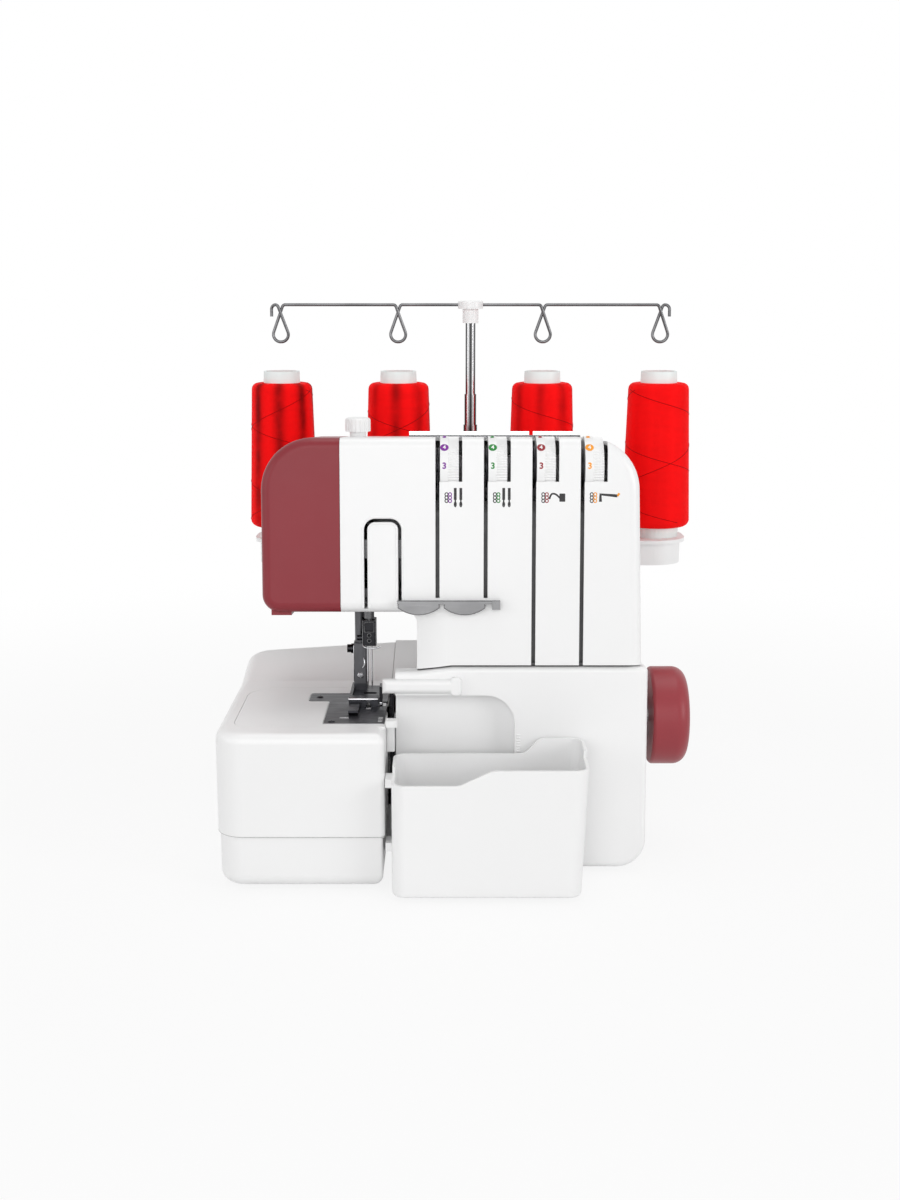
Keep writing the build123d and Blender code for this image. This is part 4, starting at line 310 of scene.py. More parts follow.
@dataclass(frozen=True)
class MouldedPlastic(Finish):
    """Injection-moulded plastic with faint flow clouds and a fine spark-eroded grain."""

    name: str
    colour: Colour
    roughness: float = 0.32
    coat: float = 0.15
    clouds: float = 0.035
    grain: float = 0.06
    specular: float = 0.5
    uneven: Pair = (-0.02, 0.03)

    def dress(self, tree: SurfaceTree) -> None:
        """Build the clouds, the gloss variation and the grain.

        Args:
            tree: The new material's tree.
        """
        clouds = tree.spread(tree.noise(scale=9.0, detail=2.0))
        pale = shade(self.colour, 1.0 + self.clouds / 2)
        deep = shade(self.colour, 1.0 - self.clouds)
        gloss = (self.roughness + part for part in self.uneven)
        tree.surface(
            Base_Color=tree.tint(clouds, pale, deep),
            Roughness=tree.spread(tree.noise(scale=60.0, detail=5.0), *gloss),
            Coat_Weight=self.coat,
            Coat_Roughness=0.12,
            Specular_IOR_Level=self.specular,
        )
        tree.relief(tree.noise(scale=2600.0, detail=2.0), depth=0.05 * MM, strength=self.grain)


@dataclass(frozen=True)
class WorkedMetal(Finish):
    """Metal with a grain drawn along one axis, handling smears and fine scratches."""

    name: str
    colour: Colour
    roughness: float
    along: Point = (1.0, 1.0, 1.0)
    grain: float = 0.12
    smear: float = 0.18
    uneven: Pair = (0.75, 1.3)

    def dress(self, tree: SurfaceTree) -> None:
        """Build the smears, the drawn grain and the gloss variation.

        Args:
            tree: The new material's tree.
        """
        smears = tree.spread(tree.noise(scale=45.0, detail=5.0))
        drawn = tree.noise(scale=900.0, stretch=self.along)
        gloss = (self.roughness * part for part in self.uneven)
        tree.surface(
            Base_Color=tree.tint(smears, self.colour, shade(self.colour, 1.0 - self.smear)),
            Roughness=tree.spread(drawn, *gloss),
            Metallic=1.0,
        )
        tree.relief(drawn, depth=0.04 * MM, strength=self.grain)


@dataclass(frozen=True)
class SlotLining(Finish):
    """Painted shade in the thread slots: near black in the upper part, with plated plates in the
    lower part.
    """

    name: str
    # Near black of the painted shade in the slots' upper part.
    dark: Colour
    plated: Colour
    change_height: float
    change_band: float = 0.0015

    def dress(self, tree: SurfaceTree) -> None:
        """Build the step between the painted shade and the plated part, and the wear.

        Args:
            tree: The new material's tree.
        """
        ends = (self.change_height - self.change_band, self.change_height + self.change_band)
        step = tree.remap(tree.parts()["Z"], ends, (0.0, 1.0))
        tree.surface(
            Base_Color=tree.tint(step, self.plated, self.dark),
            Roughness=tree.spread(tree.noise(scale=300.0), low=0.3, high=0.5),
        )
        tree.relief(tree.noise(scale=1500.0), depth=0.05 * MM, strength=0.1)


@dataclass(frozen=True)
class WoundThread(Finish):
    """Thread wound crosswise round an upright axis, with painted reflection, shade and glow."""

    name: str
    colour: Colour
    deep: Colour
    centre: Pair
    pitch: float = 0.0009
    starts: float = 9.0
    # Painted reflection: bands of light and dark round the package, their turn, sharpness and depth,
    # and the blotches that vary them.
    streaks: float = 8.0
    streak_shift: float = 0.0
    streak_edge: float = 2.0
    satin: float = 0.5
    blotch: Pair = (0.35, 1.1)
    band_shade: float = 0.18
    # Painted shade in the gaps between strands.
    gap_shade: float = 0.25
    # Strength of a painted glow: the thread emits its own colour.
    glow: float = 0.1

    def dress(self, tree: SurfaceTree) -> None:
        """Build the two crossing lays of thread, the package's bands, painted shade and painted
        reflection.

        Args:
            tree: The new material's tree.
        """
        turn, height = tree.turn(self.centre)
        rise = tree.math("MULTIPLY", height, 2 * math.pi / self.pitch)
        sweep = tree.math("MULTIPLY", turn, self.starts)
        cover = tree.spread(tree.noise(scale=150.0, detail=2.0, stretch=(1.0, 1.0, 0.4)))
        lays = [tree.ripple(tree.math(side, rise, sweep)) for side in ("ADD", "SUBTRACT")]
        strand = tree.mix(Mixed.VALUES, cover, *lays)
        bands = tree.noise(scale=60.0, detail=4.0, stretch=(0.5, 0.5, 3.0))
        # Painted reflection: the colour darkens in bands by the angle round the axis.
        streaks = tree.ripple(tree.math("MULTIPLY", turn, self.streaks), self.streak_shift)
        reflection_blotches = tree.spread(tree.noise(scale=45.0, stretch=(1.0, 1.0, 0.8)), *self.blotch)
        sheen = tree.math("MULTIPLY", tree.math("POWER", streaks, self.streak_edge), reflection_blotches)
        satin = tree.math("MULTIPLY", sheen, self.satin)
        # Painted shade: the colour darkens where the strands part.
        gaps = tree.math("MULTIPLY", tree.math("SUBTRACT", 1.0, strand), self.gap_shade)
        shades = tree.math("MAXIMUM", tree.spread(bands, high=self.band_shade), gaps)
        dark = tree.math("MINIMUM", tree.math("ADD", satin, shades), 1.0)
        thread = (*self.colour, 1.0)
        tree.surface(
            Base_Color=tree.tint(dark, self.colour, self.deep),
            Roughness=tree.spread(tree.noise(scale=500.0), low=0.5, high=0.7),
            Specular_IOR_Level=0.06,
            Sheen_Weight=0.3,
            Sheen_Roughness=0.5,
            Sheen_Tint=thread,
            # Painted glow: emission in the thread's own colour.
            Emission_Color=thread,
            Emission_Strength=self.glow,
        )
        tree.relief(strand, depth=0.2 * MM, strength=0.6)


@dataclass(frozen=True)
class DrawnTube(Finish):
    """Drawn and plated tube with bands of painted reflection along its length."""

    name: str
    colour: Colour
    centre: Pair
    # Painted reflection: bands of light and dark round the axis, and the share of colour left in the
    # dark ones.
    bands: float = 6.0
    dark: float = 0.03
    roughness: float = 0.2
    uneven: Pair = (0.8, 1.3)

    def dress(self, tree: SurfaceTree) -> None:
        """Build the bands of painted reflection round the tube and the drawing marks along it.

        Args:
            tree: The new material's tree.
        """
        turn, _ = tree.turn(self.centre)
        # Painted reflection: the colour runs from dark to light by the angle round the tube.
        tube_reflection = tree.ripple(tree.math("MULTIPLY", turn, self.bands))
        drawn = tree.noise(scale=700.0, stretch=(1.0, 1.0, 0.04))
        share = tree.math("MULTIPLY", tube_reflection, tree.spread(drawn, low=0.85))
        gloss = (self.roughness * part for part in self.uneven)
        tree.surface(
            Base_Color=tree.tint(share, shade(self.colour, self.dark), self.colour),
            Roughness=tree.spread(drawn, *gloss),
            Metallic=1.0,
        )
        tree.relief(drawn, depth=0.03 * MM, strength=0.06)


@dataclass(frozen=True)
class PrintInk(Finish):
    """Pad-printed ink, slightly thin at places."""

    name: str
    colour: Colour
    specular: float = 0.3
    thin: float = 1.25

    def dress(self, tree: SurfaceTree) -> None:
        """Build the ink's uneven cover and its dry gloss.

        Args:
            tree: The new material's tree.
        """
        cover = tree.spread(tree.noise(scale=700.0, detail=4.0))
        tree.surface(
            Base_Color=tree.tint(cover, self.colour, shade(self.colour, self.thin)),
            Roughness=tree.spread(tree.noise(scale=1200.0), low=0.4, high=0.55),
            Specular_IOR_Level=self.specular,
        )
        tree.relief(tree.noise(scale=2000.0), depth=0.02 * MM, strength=0.1)


@dataclass(frozen=True)
class SoftRubber(Finish):
    """Dull rubber with dust in its pores."""

    name: str
    colour: Colour
    dust: float = 1.9

    def dress(self, tree: SurfaceTree) -> None:
        """Build the dust, the dull gloss and the pores.

        Args:
            tree: The new material's tree.
        """
        dust = tree.spread(tree.noise(scale=180.0, detail=6.0))
        tree.surface(
            Base_Color=tree.tint(dust, self.colour, shade(self.colour, self.dust)),
            Roughness=tree.spread(tree.noise(scale=90.0), low=0.7, high=0.9),
        )
        tree.relief(tree.noise(scale=1400.0, detail=4.0), depth=0.1 * MM, strength=0.3)


@dataclass(frozen=True)
class FrostedLens(Finish):
    """Frosted lamp lens."""

    name: str
    colour: Colour
    clouds: float = 0.93

    def dress(self, tree: SurfaceTree) -> None:
        """Build the frosting and its faint clouds.

        Args:
            tree: The new material's tree.
        """
        clouds = tree.spread(tree.noise(scale=120.0))
        tree.surface(
            Base_Color=tree.tint(clouds, self.colour, shade(self.colour, self.clouds)),
            Roughness=tree.spread(tree.noise(scale=500.0), low=0.35, high=0.55),
            Transmission_Weight=0.6,
            IOR=1.5,
        )
        tree.relief(tree.noise(scale=2200.0), depth=0.05 * MM, strength=0.2)


def middle_of(node: str) -> Vector:
    """Return the middle of a CAD node's box."""
    low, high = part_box(node)
    return (low + high) / 2


WHITE = MouldedPlastic("white_shell", (0.85, 0.85, 0.85), roughness=0.34, clouds=0.008, grain=0.04)
MAROON = MouldedPlastic(
    "dark_red_shell", (0.24, 0.027, 0.036), 0.36, coat=0.0, clouds=0.05, specular=0.28
)
# Painted light: the wheel's dark red is the shell's dark red made lighter, for the wheel and its
# cap.
WHEEL_WITH_PAINTED_LIGHT = MouldedPlastic(
    "dark_red_wheel_painted_light", (0.3, 0.042, 0.052), 0.36, coat=0.0, clouds=0.05, specular=0.3
)
CORE = MouldedPlastic("cone_core", (0.78, 0.88, 0.87), roughness=0.4, coat=0.0, clouds=0.01)
BLACK = MouldedPlastic("black_fitting", (0.018, 0.018, 0.019), roughness=0.45, coat=0.0, clouds=0.3)
BRIGHT = WorkedMetal("ground_steel", (0.52, 0.52, 0.53), 0.3, along=(0.06, 1.0, 1.0))
POLISHED = WorkedMetal("plated_steel", (0.66, 0.66, 0.68), 0.14, along=(1.0, 1.0, 0.05), grain=0.05)
DARK = WorkedMetal("gunmetal", (0.075, 0.076, 0.085), 0.36, along=(0.08, 1.0, 1.0), grain=0.1)
BLUED = WorkedMetal("blued_steel", (0.04, 0.04, 0.044), 0.3, grain=0.08, smear=0.4)
ANKLE = WorkedMetal("phosphated_steel", (0.13, 0.13, 0.138), 0.42, along=(1.0, 1.0, 0.08), grain=0.1)
WIRE = WorkedMetal("spring_wire", (0.17, 0.17, 0.175), 0.24, along=(0.05, 1.0, 1.0), smear=0.35)
SHEET = WorkedMetal("guide_sheet", (0.25, 0.25, 0.255), 0.34, along=(0.05, 1.0, 1.0))
CAST = WorkedMetal("cast_alloy", (0.08, 0.08, 0.082), 0.6, grain=0.5)
BRONZE = WorkedMetal("sintered_bronze", (0.45, 0.27, 0.1), 0.45, grain=0.4)
TUBE = DrawnTube("drawn_tube", (0.62, 0.62, 0.63), tuple(middle_of("pole_lower").xy))
RUBBER = SoftRubber("foot_rubber", (0.03, 0.03, 0.032))
LENS = FrostedLens("lamp_lens_glass", (0.9, 0.92, 0.95))
MOTOR = MouldedPlastic("motor_paint", (0.06, 0.06, 0.065), roughness=0.4, clouds=0.2)
SLOT_SHADE_AND_PLATE = SlotLining("slot_painted_shade_and_plate", (0.006, 0.006, 0.006), (0.11, 0.11, 0.113), 0.2525)
INK = PrintInk("black_ink", (0.03, 0.028, 0.03))
SEAM_SHADOW = PrintInk("seam_shadow", (0.42, 0.42, 0.42))
STRAND = PrintInk("strand_shadow", (0.2, 0.001, 0.002), specular=0.05)
PALE_INK = PrintInk("pale_ink", (0.85, 0.85, 0.85))
THREAD_INKS = (
    PrintInk("purple_ink", (0.18, 0.012, 0.27)),
    PrintInk("green_ink", (0.012, 0.20, 0.03)),
    PrintInk("crimson_ink", (0.26, 0.012, 0.02)),
    PrintInk("amber_ink", (0.80, 0.30, 0.02)),
)
THREAD_RED: Colour = (1.0, 0.004, 0.005)
# Dark red that the thread runs to in its random bands, in its painted shade and in its bands of
# painted reflection.
THREAD_DEEP: Colour = (0.1, 0.0003, 0.0006)

SLOT_FINISH: dict[Slot, Finish] = {
    Slot.WHITE_PLASTIC: WHITE,
    Slot.RED_PLASTIC: MAROON,
    Slot.BRIGHT_STEEL: BRIGHT,
    Slot.POLISHED_STEEL: POLISHED,
    Slot.DARK_STEEL: DARK,
    Slot.BLACK_PLASTIC: BLACK,
    Slot.RUBBER: RUBBER,
    Slot.CAST_ALLOY: CAST,
    Slot.BRONZE: BRONZE,
    Slot.LAMP_LENS: LENS,
    Slot.MOTOR_PAINT: MOTOR,
}
FINISH_NODES: dict[Finish, tuple[str, ...]] = {
    SLOT_SHADE_AND_PLATE: ("thread_channels",),
    BLUED: ("needle_clamp", "ankle_screw", "upper_knife", "tension_discs"),
    ANKLE: ("presser_ankle", "presser_bar"),
    DARK: ("presser_foot",),
    SHEET: ("low_thread_guide",),
    POLISHED: ("top_thread_guide",),
    WIRE: ("needle_bar", "thread_takeup", "thread_guide_bar"),
    CORE: ("cone_cores", "spool_holders"),
    WHEEL_WITH_PAINTED_LIGHT: ("handwheel",),
    TUBE: ("pole_lower", "pole_middle", "pole_upper"),
}
NODE_FINISH = {node: finish for finish, nodes in FINISH_NODES.items() for node in nodes}


def deselect() -> None:
    """Leave edit mode and deselect everything."""
    if bpy.context.object and bpy.context.object.mode != "OBJECT":
        bpy.ops.object.mode_set(mode="OBJECT")
    bpy.ops.object.select_all(action="DESELECT")


def activate(piece: Piece) -> None:
    """Select one object alone and make it active.

    Args:
        piece: The object to select.
    """
    deselect()
    piece.select_set(True)
    bpy.context.view_layer.objects.active = piece


@contextmanager
def editing(piece: Piece) -> Iterator[None]:
    """Open a piece in edit mode with all of it selected, and close it again.

    Args:
        piece: The mesh to edit.

    Yields:
        Nothing, while the piece is open.
    """
    activate(piece)
    bpy.ops.object.mode_set(mode="EDIT")
    bpy.ops.mesh.select_all(action="SELECT")
    yield
    bpy.ops.object.mode_set(mode="OBJECT")


def modify(piece: Piece, kind: str, **values: object) -> None:
    """Add a modifier, set it and apply it.

    Args:
        piece: The mesh to change.
        kind: The modifier's type.
        values: The modifier's settings, by name.
    """
    activate(piece)
    modifier = piece.modifiers.new(kind.lower(), kind)
    for key, value in values.items():
        setattr(modifier, key, value)
    bpy.ops.object.modifier_apply(modifier=modifier.name)


def settle(piece: Piece, place: Matrix | None = None) -> None:
    """Put a piece at a place and move the place into its mesh.

    Args:
        piece: The piece to place.
        place: Its place, or None to keep the one it has.
    """
    if place is not None:
        piece.matrix_world = place
    activate(piece)
    bpy.ops.object.transform_apply(location=True, rotation=True, scale=True)


def smooth(piece: Piece, crease: float) -> None:
    """Shade a piece smooth where its faces meet at less than an angle in degrees."""
    activate(piece)
    bpy.ops.object.shade_smooth_by_angle(angle=math.radians(crease))


def finish_piece(
    piece: Piece,
    name: str,
    finish: Finish,
    body: str = "machine",
    crease: float | None = None,
) -> None:
    """Name a piece, dress it and set it on its body.

    Args:
        piece: The finished mesh.
        name: Its name.
        finish: Its finish.
        body: The CAD body that carries it.
        crease: The angle in degrees below which it is shaded smooth, or None to keep its shading.
    """
    if crease is not None:
        smooth(piece, crease)
    piece.name = name
    piece.data.name = name
    piece.data.materials.clear()
    piece.data.materials.append(finish.material())
    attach(piece, body)
    LOG.info("%s rides on %s", name, body)


def joined(pieces: Sequence[Piece]) -> Piece:
    """Join several meshes into the first one.

    Args:
        pieces: The meshes.

    Returns:
        The joined mesh.
    """
    activate(pieces[0])
    for piece in pieces:
        piece.select_set(True)
    if len(pieces) > 1:
        bpy.ops.object.join()
    return bpy.context.object


def turned(profile: Sequence[Pair], place: Point, axis: Axis = Axis.Z, sides: int = 32) -> Piece:
    """Model a turned piece by extruding and scaling a ring along a profile.

    Args:
        profile: Radius and height of each ring, from one end to the other.
        place: The profile's origin.
        axis: The axis that the piece stands on.
        sides: Vertices in a ring.

    Returns:
        The turned mesh, closed at both ends.
    """
    deselect()
    radius, height = profile[0]
    bpy.ops.mesh.primitive_circle_add(
        vertices=sides, radius=radius, fill_type="NGON", location=(0, 0, 0)
    )
    piece = bpy.context.object
    with editing(piece):
        bpy.ops.transform.translate(value=(0, 0, height))
        for next_radius, next_height in profile[1:]:
            step = {"value": (0, 0, next_height - height)}
            bpy.ops.mesh.extrude_region_move(TRANSFORM_OT_translate=step)
            ratio = next_radius / radius
            bpy.ops.transform.resize(
                value=(ratio, ratio, 1), center_override=(0, 0, next_height)
            )
            radius, height = next_radius, next_height
        bpy.ops.mesh.select_all(action="SELECT")
        bpy.ops.mesh.remove_doubles(threshold=MERGE)
        bpy.ops.mesh.normals_make_consistent(inside=False)
    piece.rotation_euler = axis.value
    piece.location = place
    settle(piece)
    return piece


def soft_block(low: Point, high: Point, edge: float, segments: int = 3) -> Piece:
    """Model a block with rounded edges from a cube.

    Args:
        low: Lowest corner.
        high: Highest corner.
        edge: Radius of the rounded edges.
        segments: Faces round an edge.

    Returns:
        The block's mesh.
    """
    deselect()
    middle = [(a + b) / 2 for a, b in zip(low, high)]
    bpy.ops.mesh.primitive_cube_add(size=1, location=middle)
    piece = bpy.context.object
    piece.scale = [b - a for a, b in zip(low, high)]
    settle(piece)
    with editing(piece):
        bpy.ops.mesh.bevel(offset=edge, segments=segments, affect="EDGES")
    return piece


def wire(points: Sequence[Point], radius: float, sides: int = 3, curved: bool = False) -> Piece:
    """Model a round wire along points.

    Args:
        points: The wire's points.
        radius: The wire's radius.
        sides: Resolution of the wire's round section.
        curved: Whether the wire bends softly along its points.

    Returns:
        The wire's mesh, with capped ends.
    """
    deselect()
    line = bpy.data.curves.new("wire", "CURVE")
    line.dimensions = "3D"
    line.bevel_depth = radius
    line.bevel_resolution = sides
    line.use_fill_caps = True
    run = line.splines.new("NURBS" if curved else "POLY")
    run.points.add(len(points) - 1)
    for target, point in zip(run.points, points):
        target.co = (*point, 1.0)
    if curved:
        run.order_u = CURVE_ORDER
        run.use_endpoint_u = True
        run.resolution_u = CURVE_STEPS
    piece = bpy.data.objects.new("wire", line)
    bpy.context.scene.collection.objects.link(piece)
    activate(piece)
    bpy.ops.object.convert(target="MESH")
    return bpy.context.object


def arc(centre: Pair, half: Pair, start: float, sweep: float, steps: int) -> list[Pair]:
    """Work out points along an arc of a circle or an ellipse.

    Args:
        centre: The arc's middle.
        half: Its half axes.
        start: Angle of its first point in radians.
        sweep: Angle from its first point to its last one.
        steps: Stretches between its points.

    Returns:
        The points.
    """
    angles = [start + sweep * step / steps for step in range(steps + 1)]
    return [
        (centre[0] + half[0] * math.cos(angle), centre[1] + half[1] * math.sin(angle))
        for angle in angles
    ]


def flat_ring(centre: Pair, half: Pair, line: float) -> Piece:
    """Model a thin closed loop in the XY plane.

    Args:
        centre: The loop's middle.
        half: Its half width and half height.
        line: Radius of its line.

    Returns:
        The loop's mesh.
    """
    outline = arc(centre, half, 0.0, 2 * math.pi, LOOP_STEPS)
    return wire([(x, y, 0.0) for x, y in outline], line, sides=1)


def copied(piece: Piece, place: Matrix) -> Piece:
    """Copy a piece with a mesh of its own, and put the copy at a place.

    Args:
        piece: The piece to copy.
        place: The copy's place.

    Returns:
        The copy.
    """
    twin = bpy.data.objects.new(piece.name, piece.data.copy())
    bpy.context.scene.collection.objects.link(twin)
    settle(twin, place)
    return twin


def figure(text: str, size: float, thick: float) -> Piece:
    """Model a figure as a thin raised mesh in the XY plane, centred on the origin.

    Args:
        text: The figure.
        size: Its height in metres.
        thick: Its thickness.

    Returns:
        The figure's mesh.
    """
    deselect()
    bpy.ops.object.text_add(location=(0, 0, 0))
    piece = bpy.context.object
    piece.data.body = text
    piece.data.size = size * FIGURE_SCALE
    piece.data.extrude = thick / 2
    piece.data.offset = size * FIGURE_BOLD
    piece.data.align_x = "CENTER"
    piece.data.align_y = "CENTER"
    bpy.ops.object.convert(target="MESH")
    return bpy.context.object


@dataclass(frozen=True)
class ScrewHead:
    """Head of a pan-head screw with a cross recess, shaped in shares of its radius and height."""

    radius: float
    height: float
    outline: tuple[Pair, ...] = ((1.0, 0.0), (1.0, 0.45), (0.85, 0.82), (0.5, 1.0))
    cross_long: float = 0.62
    cross_thin: float = 0.13
    cross_floor: float = 0.45
    cross_rise: float = 2.0
    cross_sharpness: float = 3.0

    def build(self) -> Piece:
        """Model the head, standing on the origin.

        Returns:
            The head's mesh.
        """
        outline = [(out * self.radius, up * self.height) for out, up in self.outline]
        head = turned(outline, (0.0, 0.0, 0.0))
        long, thin = self.cross_long * self.radius, self.cross_thin * self.radius
        floor, rise = self.cross_floor * self.height, self.cross_rise * self.height
        rounding = thin / self.cross_sharpness
        for x, y in ((long, thin), (thin, long)):
            cutter = soft_block((-x, -y, floor), (x, y, rise), rounding, segments=1)
            modify(head, "BOOLEAN", operation="DIFFERENCE", object=cutter, solver="EXACT")
            bpy.data.objects.remove(cutter)
        smooth(head, TURNED_CREASE)
        return head


@dataclass(frozen=True)
class LeaningFront:
    """The machine's leaning front face: u along X, v up the face, w out of it."""

    foot_y: float = -0.086
    foot_z: float = 0.003
    lean: float = math.radians(4.94)

    def point(self, u: float, v: float, w: float = 0.0) -> Point:
        """Return a place on the front in the machine's frame."""
        sine, cosine = math.sin(self.lean), math.cos(self.lean)
        return (u, self.foot_y + v * sine - w * cosine, self.foot_z + v * cosine + w * sine)

    def place(self, u: float, v: float, w: float = 0.0) -> Matrix:
        """Return the placing of a flat sign on the front."""
        return Matrix.Translation(self.point(u, v, w)) @ Matrix.Rotation(QUARTER - self.lean, 4, "X")


FRONT = LeaningFront()
END_FACE = 0.121
RIGHT_END = Matrix(((0, 0, 1, END_FACE), (1, 0, 0, 0), (0, 1, 0, 0), (0, 0, 0, 1)))
BACKWARDS = Matrix.Rotation(math.pi, 4, "Y")
UPRIGHT = Matrix.Rotation(QUARTER, 4, "X")


@dataclass
class DressedNodes:
    """The CAD nodes, which keep their shapes and get the finish of their slot or their own."""

    hidden: frozenset[str] = frozenset({"thread_cones"})

    def build(self) -> None:
        """Dress every node that no modelled piece stands in for."""
        for row in frame["record"]["subparts"]:
            node = row["node"]
            if node in self.hidden:
                continue
            finish = NODE_FINISH.get(node) or SLOT_FINISH[Slot(row["material_slot"])]
            for place in frame["nodes"][node].material_slots:
                place.material = finish.material()
            LOG.info("%s is dressed in %s", node, finish.name)


@dataclass
class ThreadCones:
    """Four packages of cross-wound thread on their cores."""

    outer: float = 0.14815
    inner: float = 0.0565
    depth: float = 0.108
    foot: float = 0.218
    top: float = 0.331
    foot_radius: float = 0.027
    top_radius: float = 0.0236
    core_foot: float = 0.0183
    core_top: float = 0.0145
    edge: float = 0.005
    edge_angles: tuple[float, ...] = (0.0, 22.0, 45.0, 68.0, 90.0)
    rings: int = 20
    sides: int = 64
    strand: float = 0.00018
    strand_lays: tuple[Pair, ...] = ((0.0, -2.3), (0.3, 1.45))
    strand_shift: float = 0.21
    strand_points: int = 120
    # Per cone: the turn of its bands of painted reflection and how dark they are.
    streak_shifts: tuple[float, ...] = (0.0, 0.42, 0.84, 0.0)
    satins: tuple[float, ...] = (0.95, 0.6, 0.5, 0.08)

    def radius(self, height: float) -> float:
        """Return the package's radius at a height of its straight taper."""
        share = (height - self.foot) / (self.top - self.foot)
        return self.foot_radius + share * (self.top_radius - self.foot_radius)

    def rounding(self, height: float, side: int) -> list[Pair]:
        """Work out the rounded rim at one end of the package.

        Args:
            height: Where the taper ends and the rim begins.
            side: -1 for the rim at the foot, 1 for the one at the top.

        Returns:
            The rim's points, from the end's flat face to the taper.
        """
        points = []
        for angle in map(math.radians, self.edge_angles):
            inset = self.edge * (1 - math.sin(angle))
            drop = self.edge * math.cos(angle)
            points.append((self.radius(height) - inset, height + side * drop))
        return points

    def profile(self) -> list[Pair]:
        """Work out the package's outline.

        Returns:
            Its points, from the core's foot to the core's top.
        """
        low, high = self.foot + self.edge, self.top - self.edge
        heights = [low + (high - low) * number / self.rings for number in range(1, self.rings)]
        return [
            (self.core_foot, self.foot),
            *self.rounding(low, -1),
            *((self.radius(height), height) for height in heights),
            *reversed(self.rounding(high, 1)),
            (self.core_top, self.top),
        ]

    def strands(self, x: float, number: int) -> Piece:
        """Model the outermost strands, which lie across the package.

        Args:
            x: The cone's place.
            number: The cone's number, which turns its strands.

        Returns:
            The strands' mesh.
        """
        low, high = self.foot + self.edge, self.top - self.edge
        runs = []
        for start, turns in self.strand_lays:
            points = []
            for step in range(self.strand_points):
                share = step / (self.strand_points - 1)
                height = low + (high - low) * share
                turn = 2 * math.pi * (start + self.strand_shift * number + turns * share)
                out = self.radius(height) + self.strand / 2
                points.append((x + out * math.cos(turn), self.depth + out * math.sin(turn), height))
            runs.append(wire(points, self.strand, sides=1))
        return joined(runs)

    def build(self) -> None:
        """Build the four packages with their strands."""
        places = (-self.outer, -self.inner, self.inner, self.outer)
        cones = zip(places, self.streak_shifts, self.satins)
        for number, (x, shift, satin) in enumerate(cones, start=1):
            finish = WoundThread(
                f"wound_thread_{number}",
                THREAD_RED,
                THREAD_DEEP,
                (x, self.depth),
                streak_shift=shift,
                satin=satin,
            )
            package = turned(self.profile(), (x, self.depth, 0.0), sides=self.sides)
            name = f"thread_package_{number}"
            finish_piece(package, name, finish, crease=PART_CREASE)
            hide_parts("thread_cones")
            strands = self.strands(x, number)
            name = f"thread_strands_{number}"
            finish_piece(strands, name, STRAND, crease=STRAND_CREASE)


@dataclass
class TensionDials:
    """Figures on the four tension dials: nought to nine, with the usual setting in a filled ring."""

    usual: int = 4
    count: int = 10
    shown: int = 3
    shown_angle: float = 10.0
    figure_height: float = 0.0042
    usual_height: float = 0.0030
    ring_radius: float = 0.0029
    ring_sides: int = 28
    thick: float = 0.0003
    proud: float = 0.00006
    radius: float = 0.022
    figure_share: float = 0.23

    def place(self, centre: Point, angle: float, proud: float) -> Matrix:
        """Work out the placing of a figure on a dial's rim.

        Args:
            centre: The dial's axis point under the figure.
            angle: Degrees above the dial's foremost line.
            proud: Height of the figure's middle over the rim.

        Returns:
            The figure's placing.
        """
        turn = Matrix.Rotation(math.radians(-angle), 4, "X")
        out = Matrix.Translation((0.0, -self.radius - proud, 0.0))
        return Matrix.Translation(centre) @ turn @ out @ UPRIGHT

    def build(self) -> None:
        """Build the figures of each dial and set them on its body."""
        for number, ink in enumerate(THREAD_INKS, start=1):
            body = f"tension_dial_{number}"
            low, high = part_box(body)
            middle = middle_of(body)
            centre = (low.x + self.figure_share * (high.x - low.x), middle.y, middle.z)
            figures = []
            for value in range(self.count):
                angle = self.shown_angle + (value - self.shown) * 360.0 / self.count
                in_ring = value == self.usual
                height = self.usual_height if in_ring else self.figure_height
                mark = figure(str(value), height, self.thick)
                if in_ring:
                    settle(mark, self.place(centre, angle, self.proud * 2))
                    name = f"dial_{number}_usual"
                    finish_piece(mark, name, PALE_INK, body)
                    disc = [(self.ring_radius, 0.0), (self.ring_radius, self.thick)]
                    mark = turned(disc, (0.0, 0.0, -self.thick), sides=self.ring_sides)
                settle(mark, self.place(centre, angle, self.proud))
                figures.append(mark)
            name = f"dial_{number}_figures"
            finish_piece(joined(figures), name, ink, body)


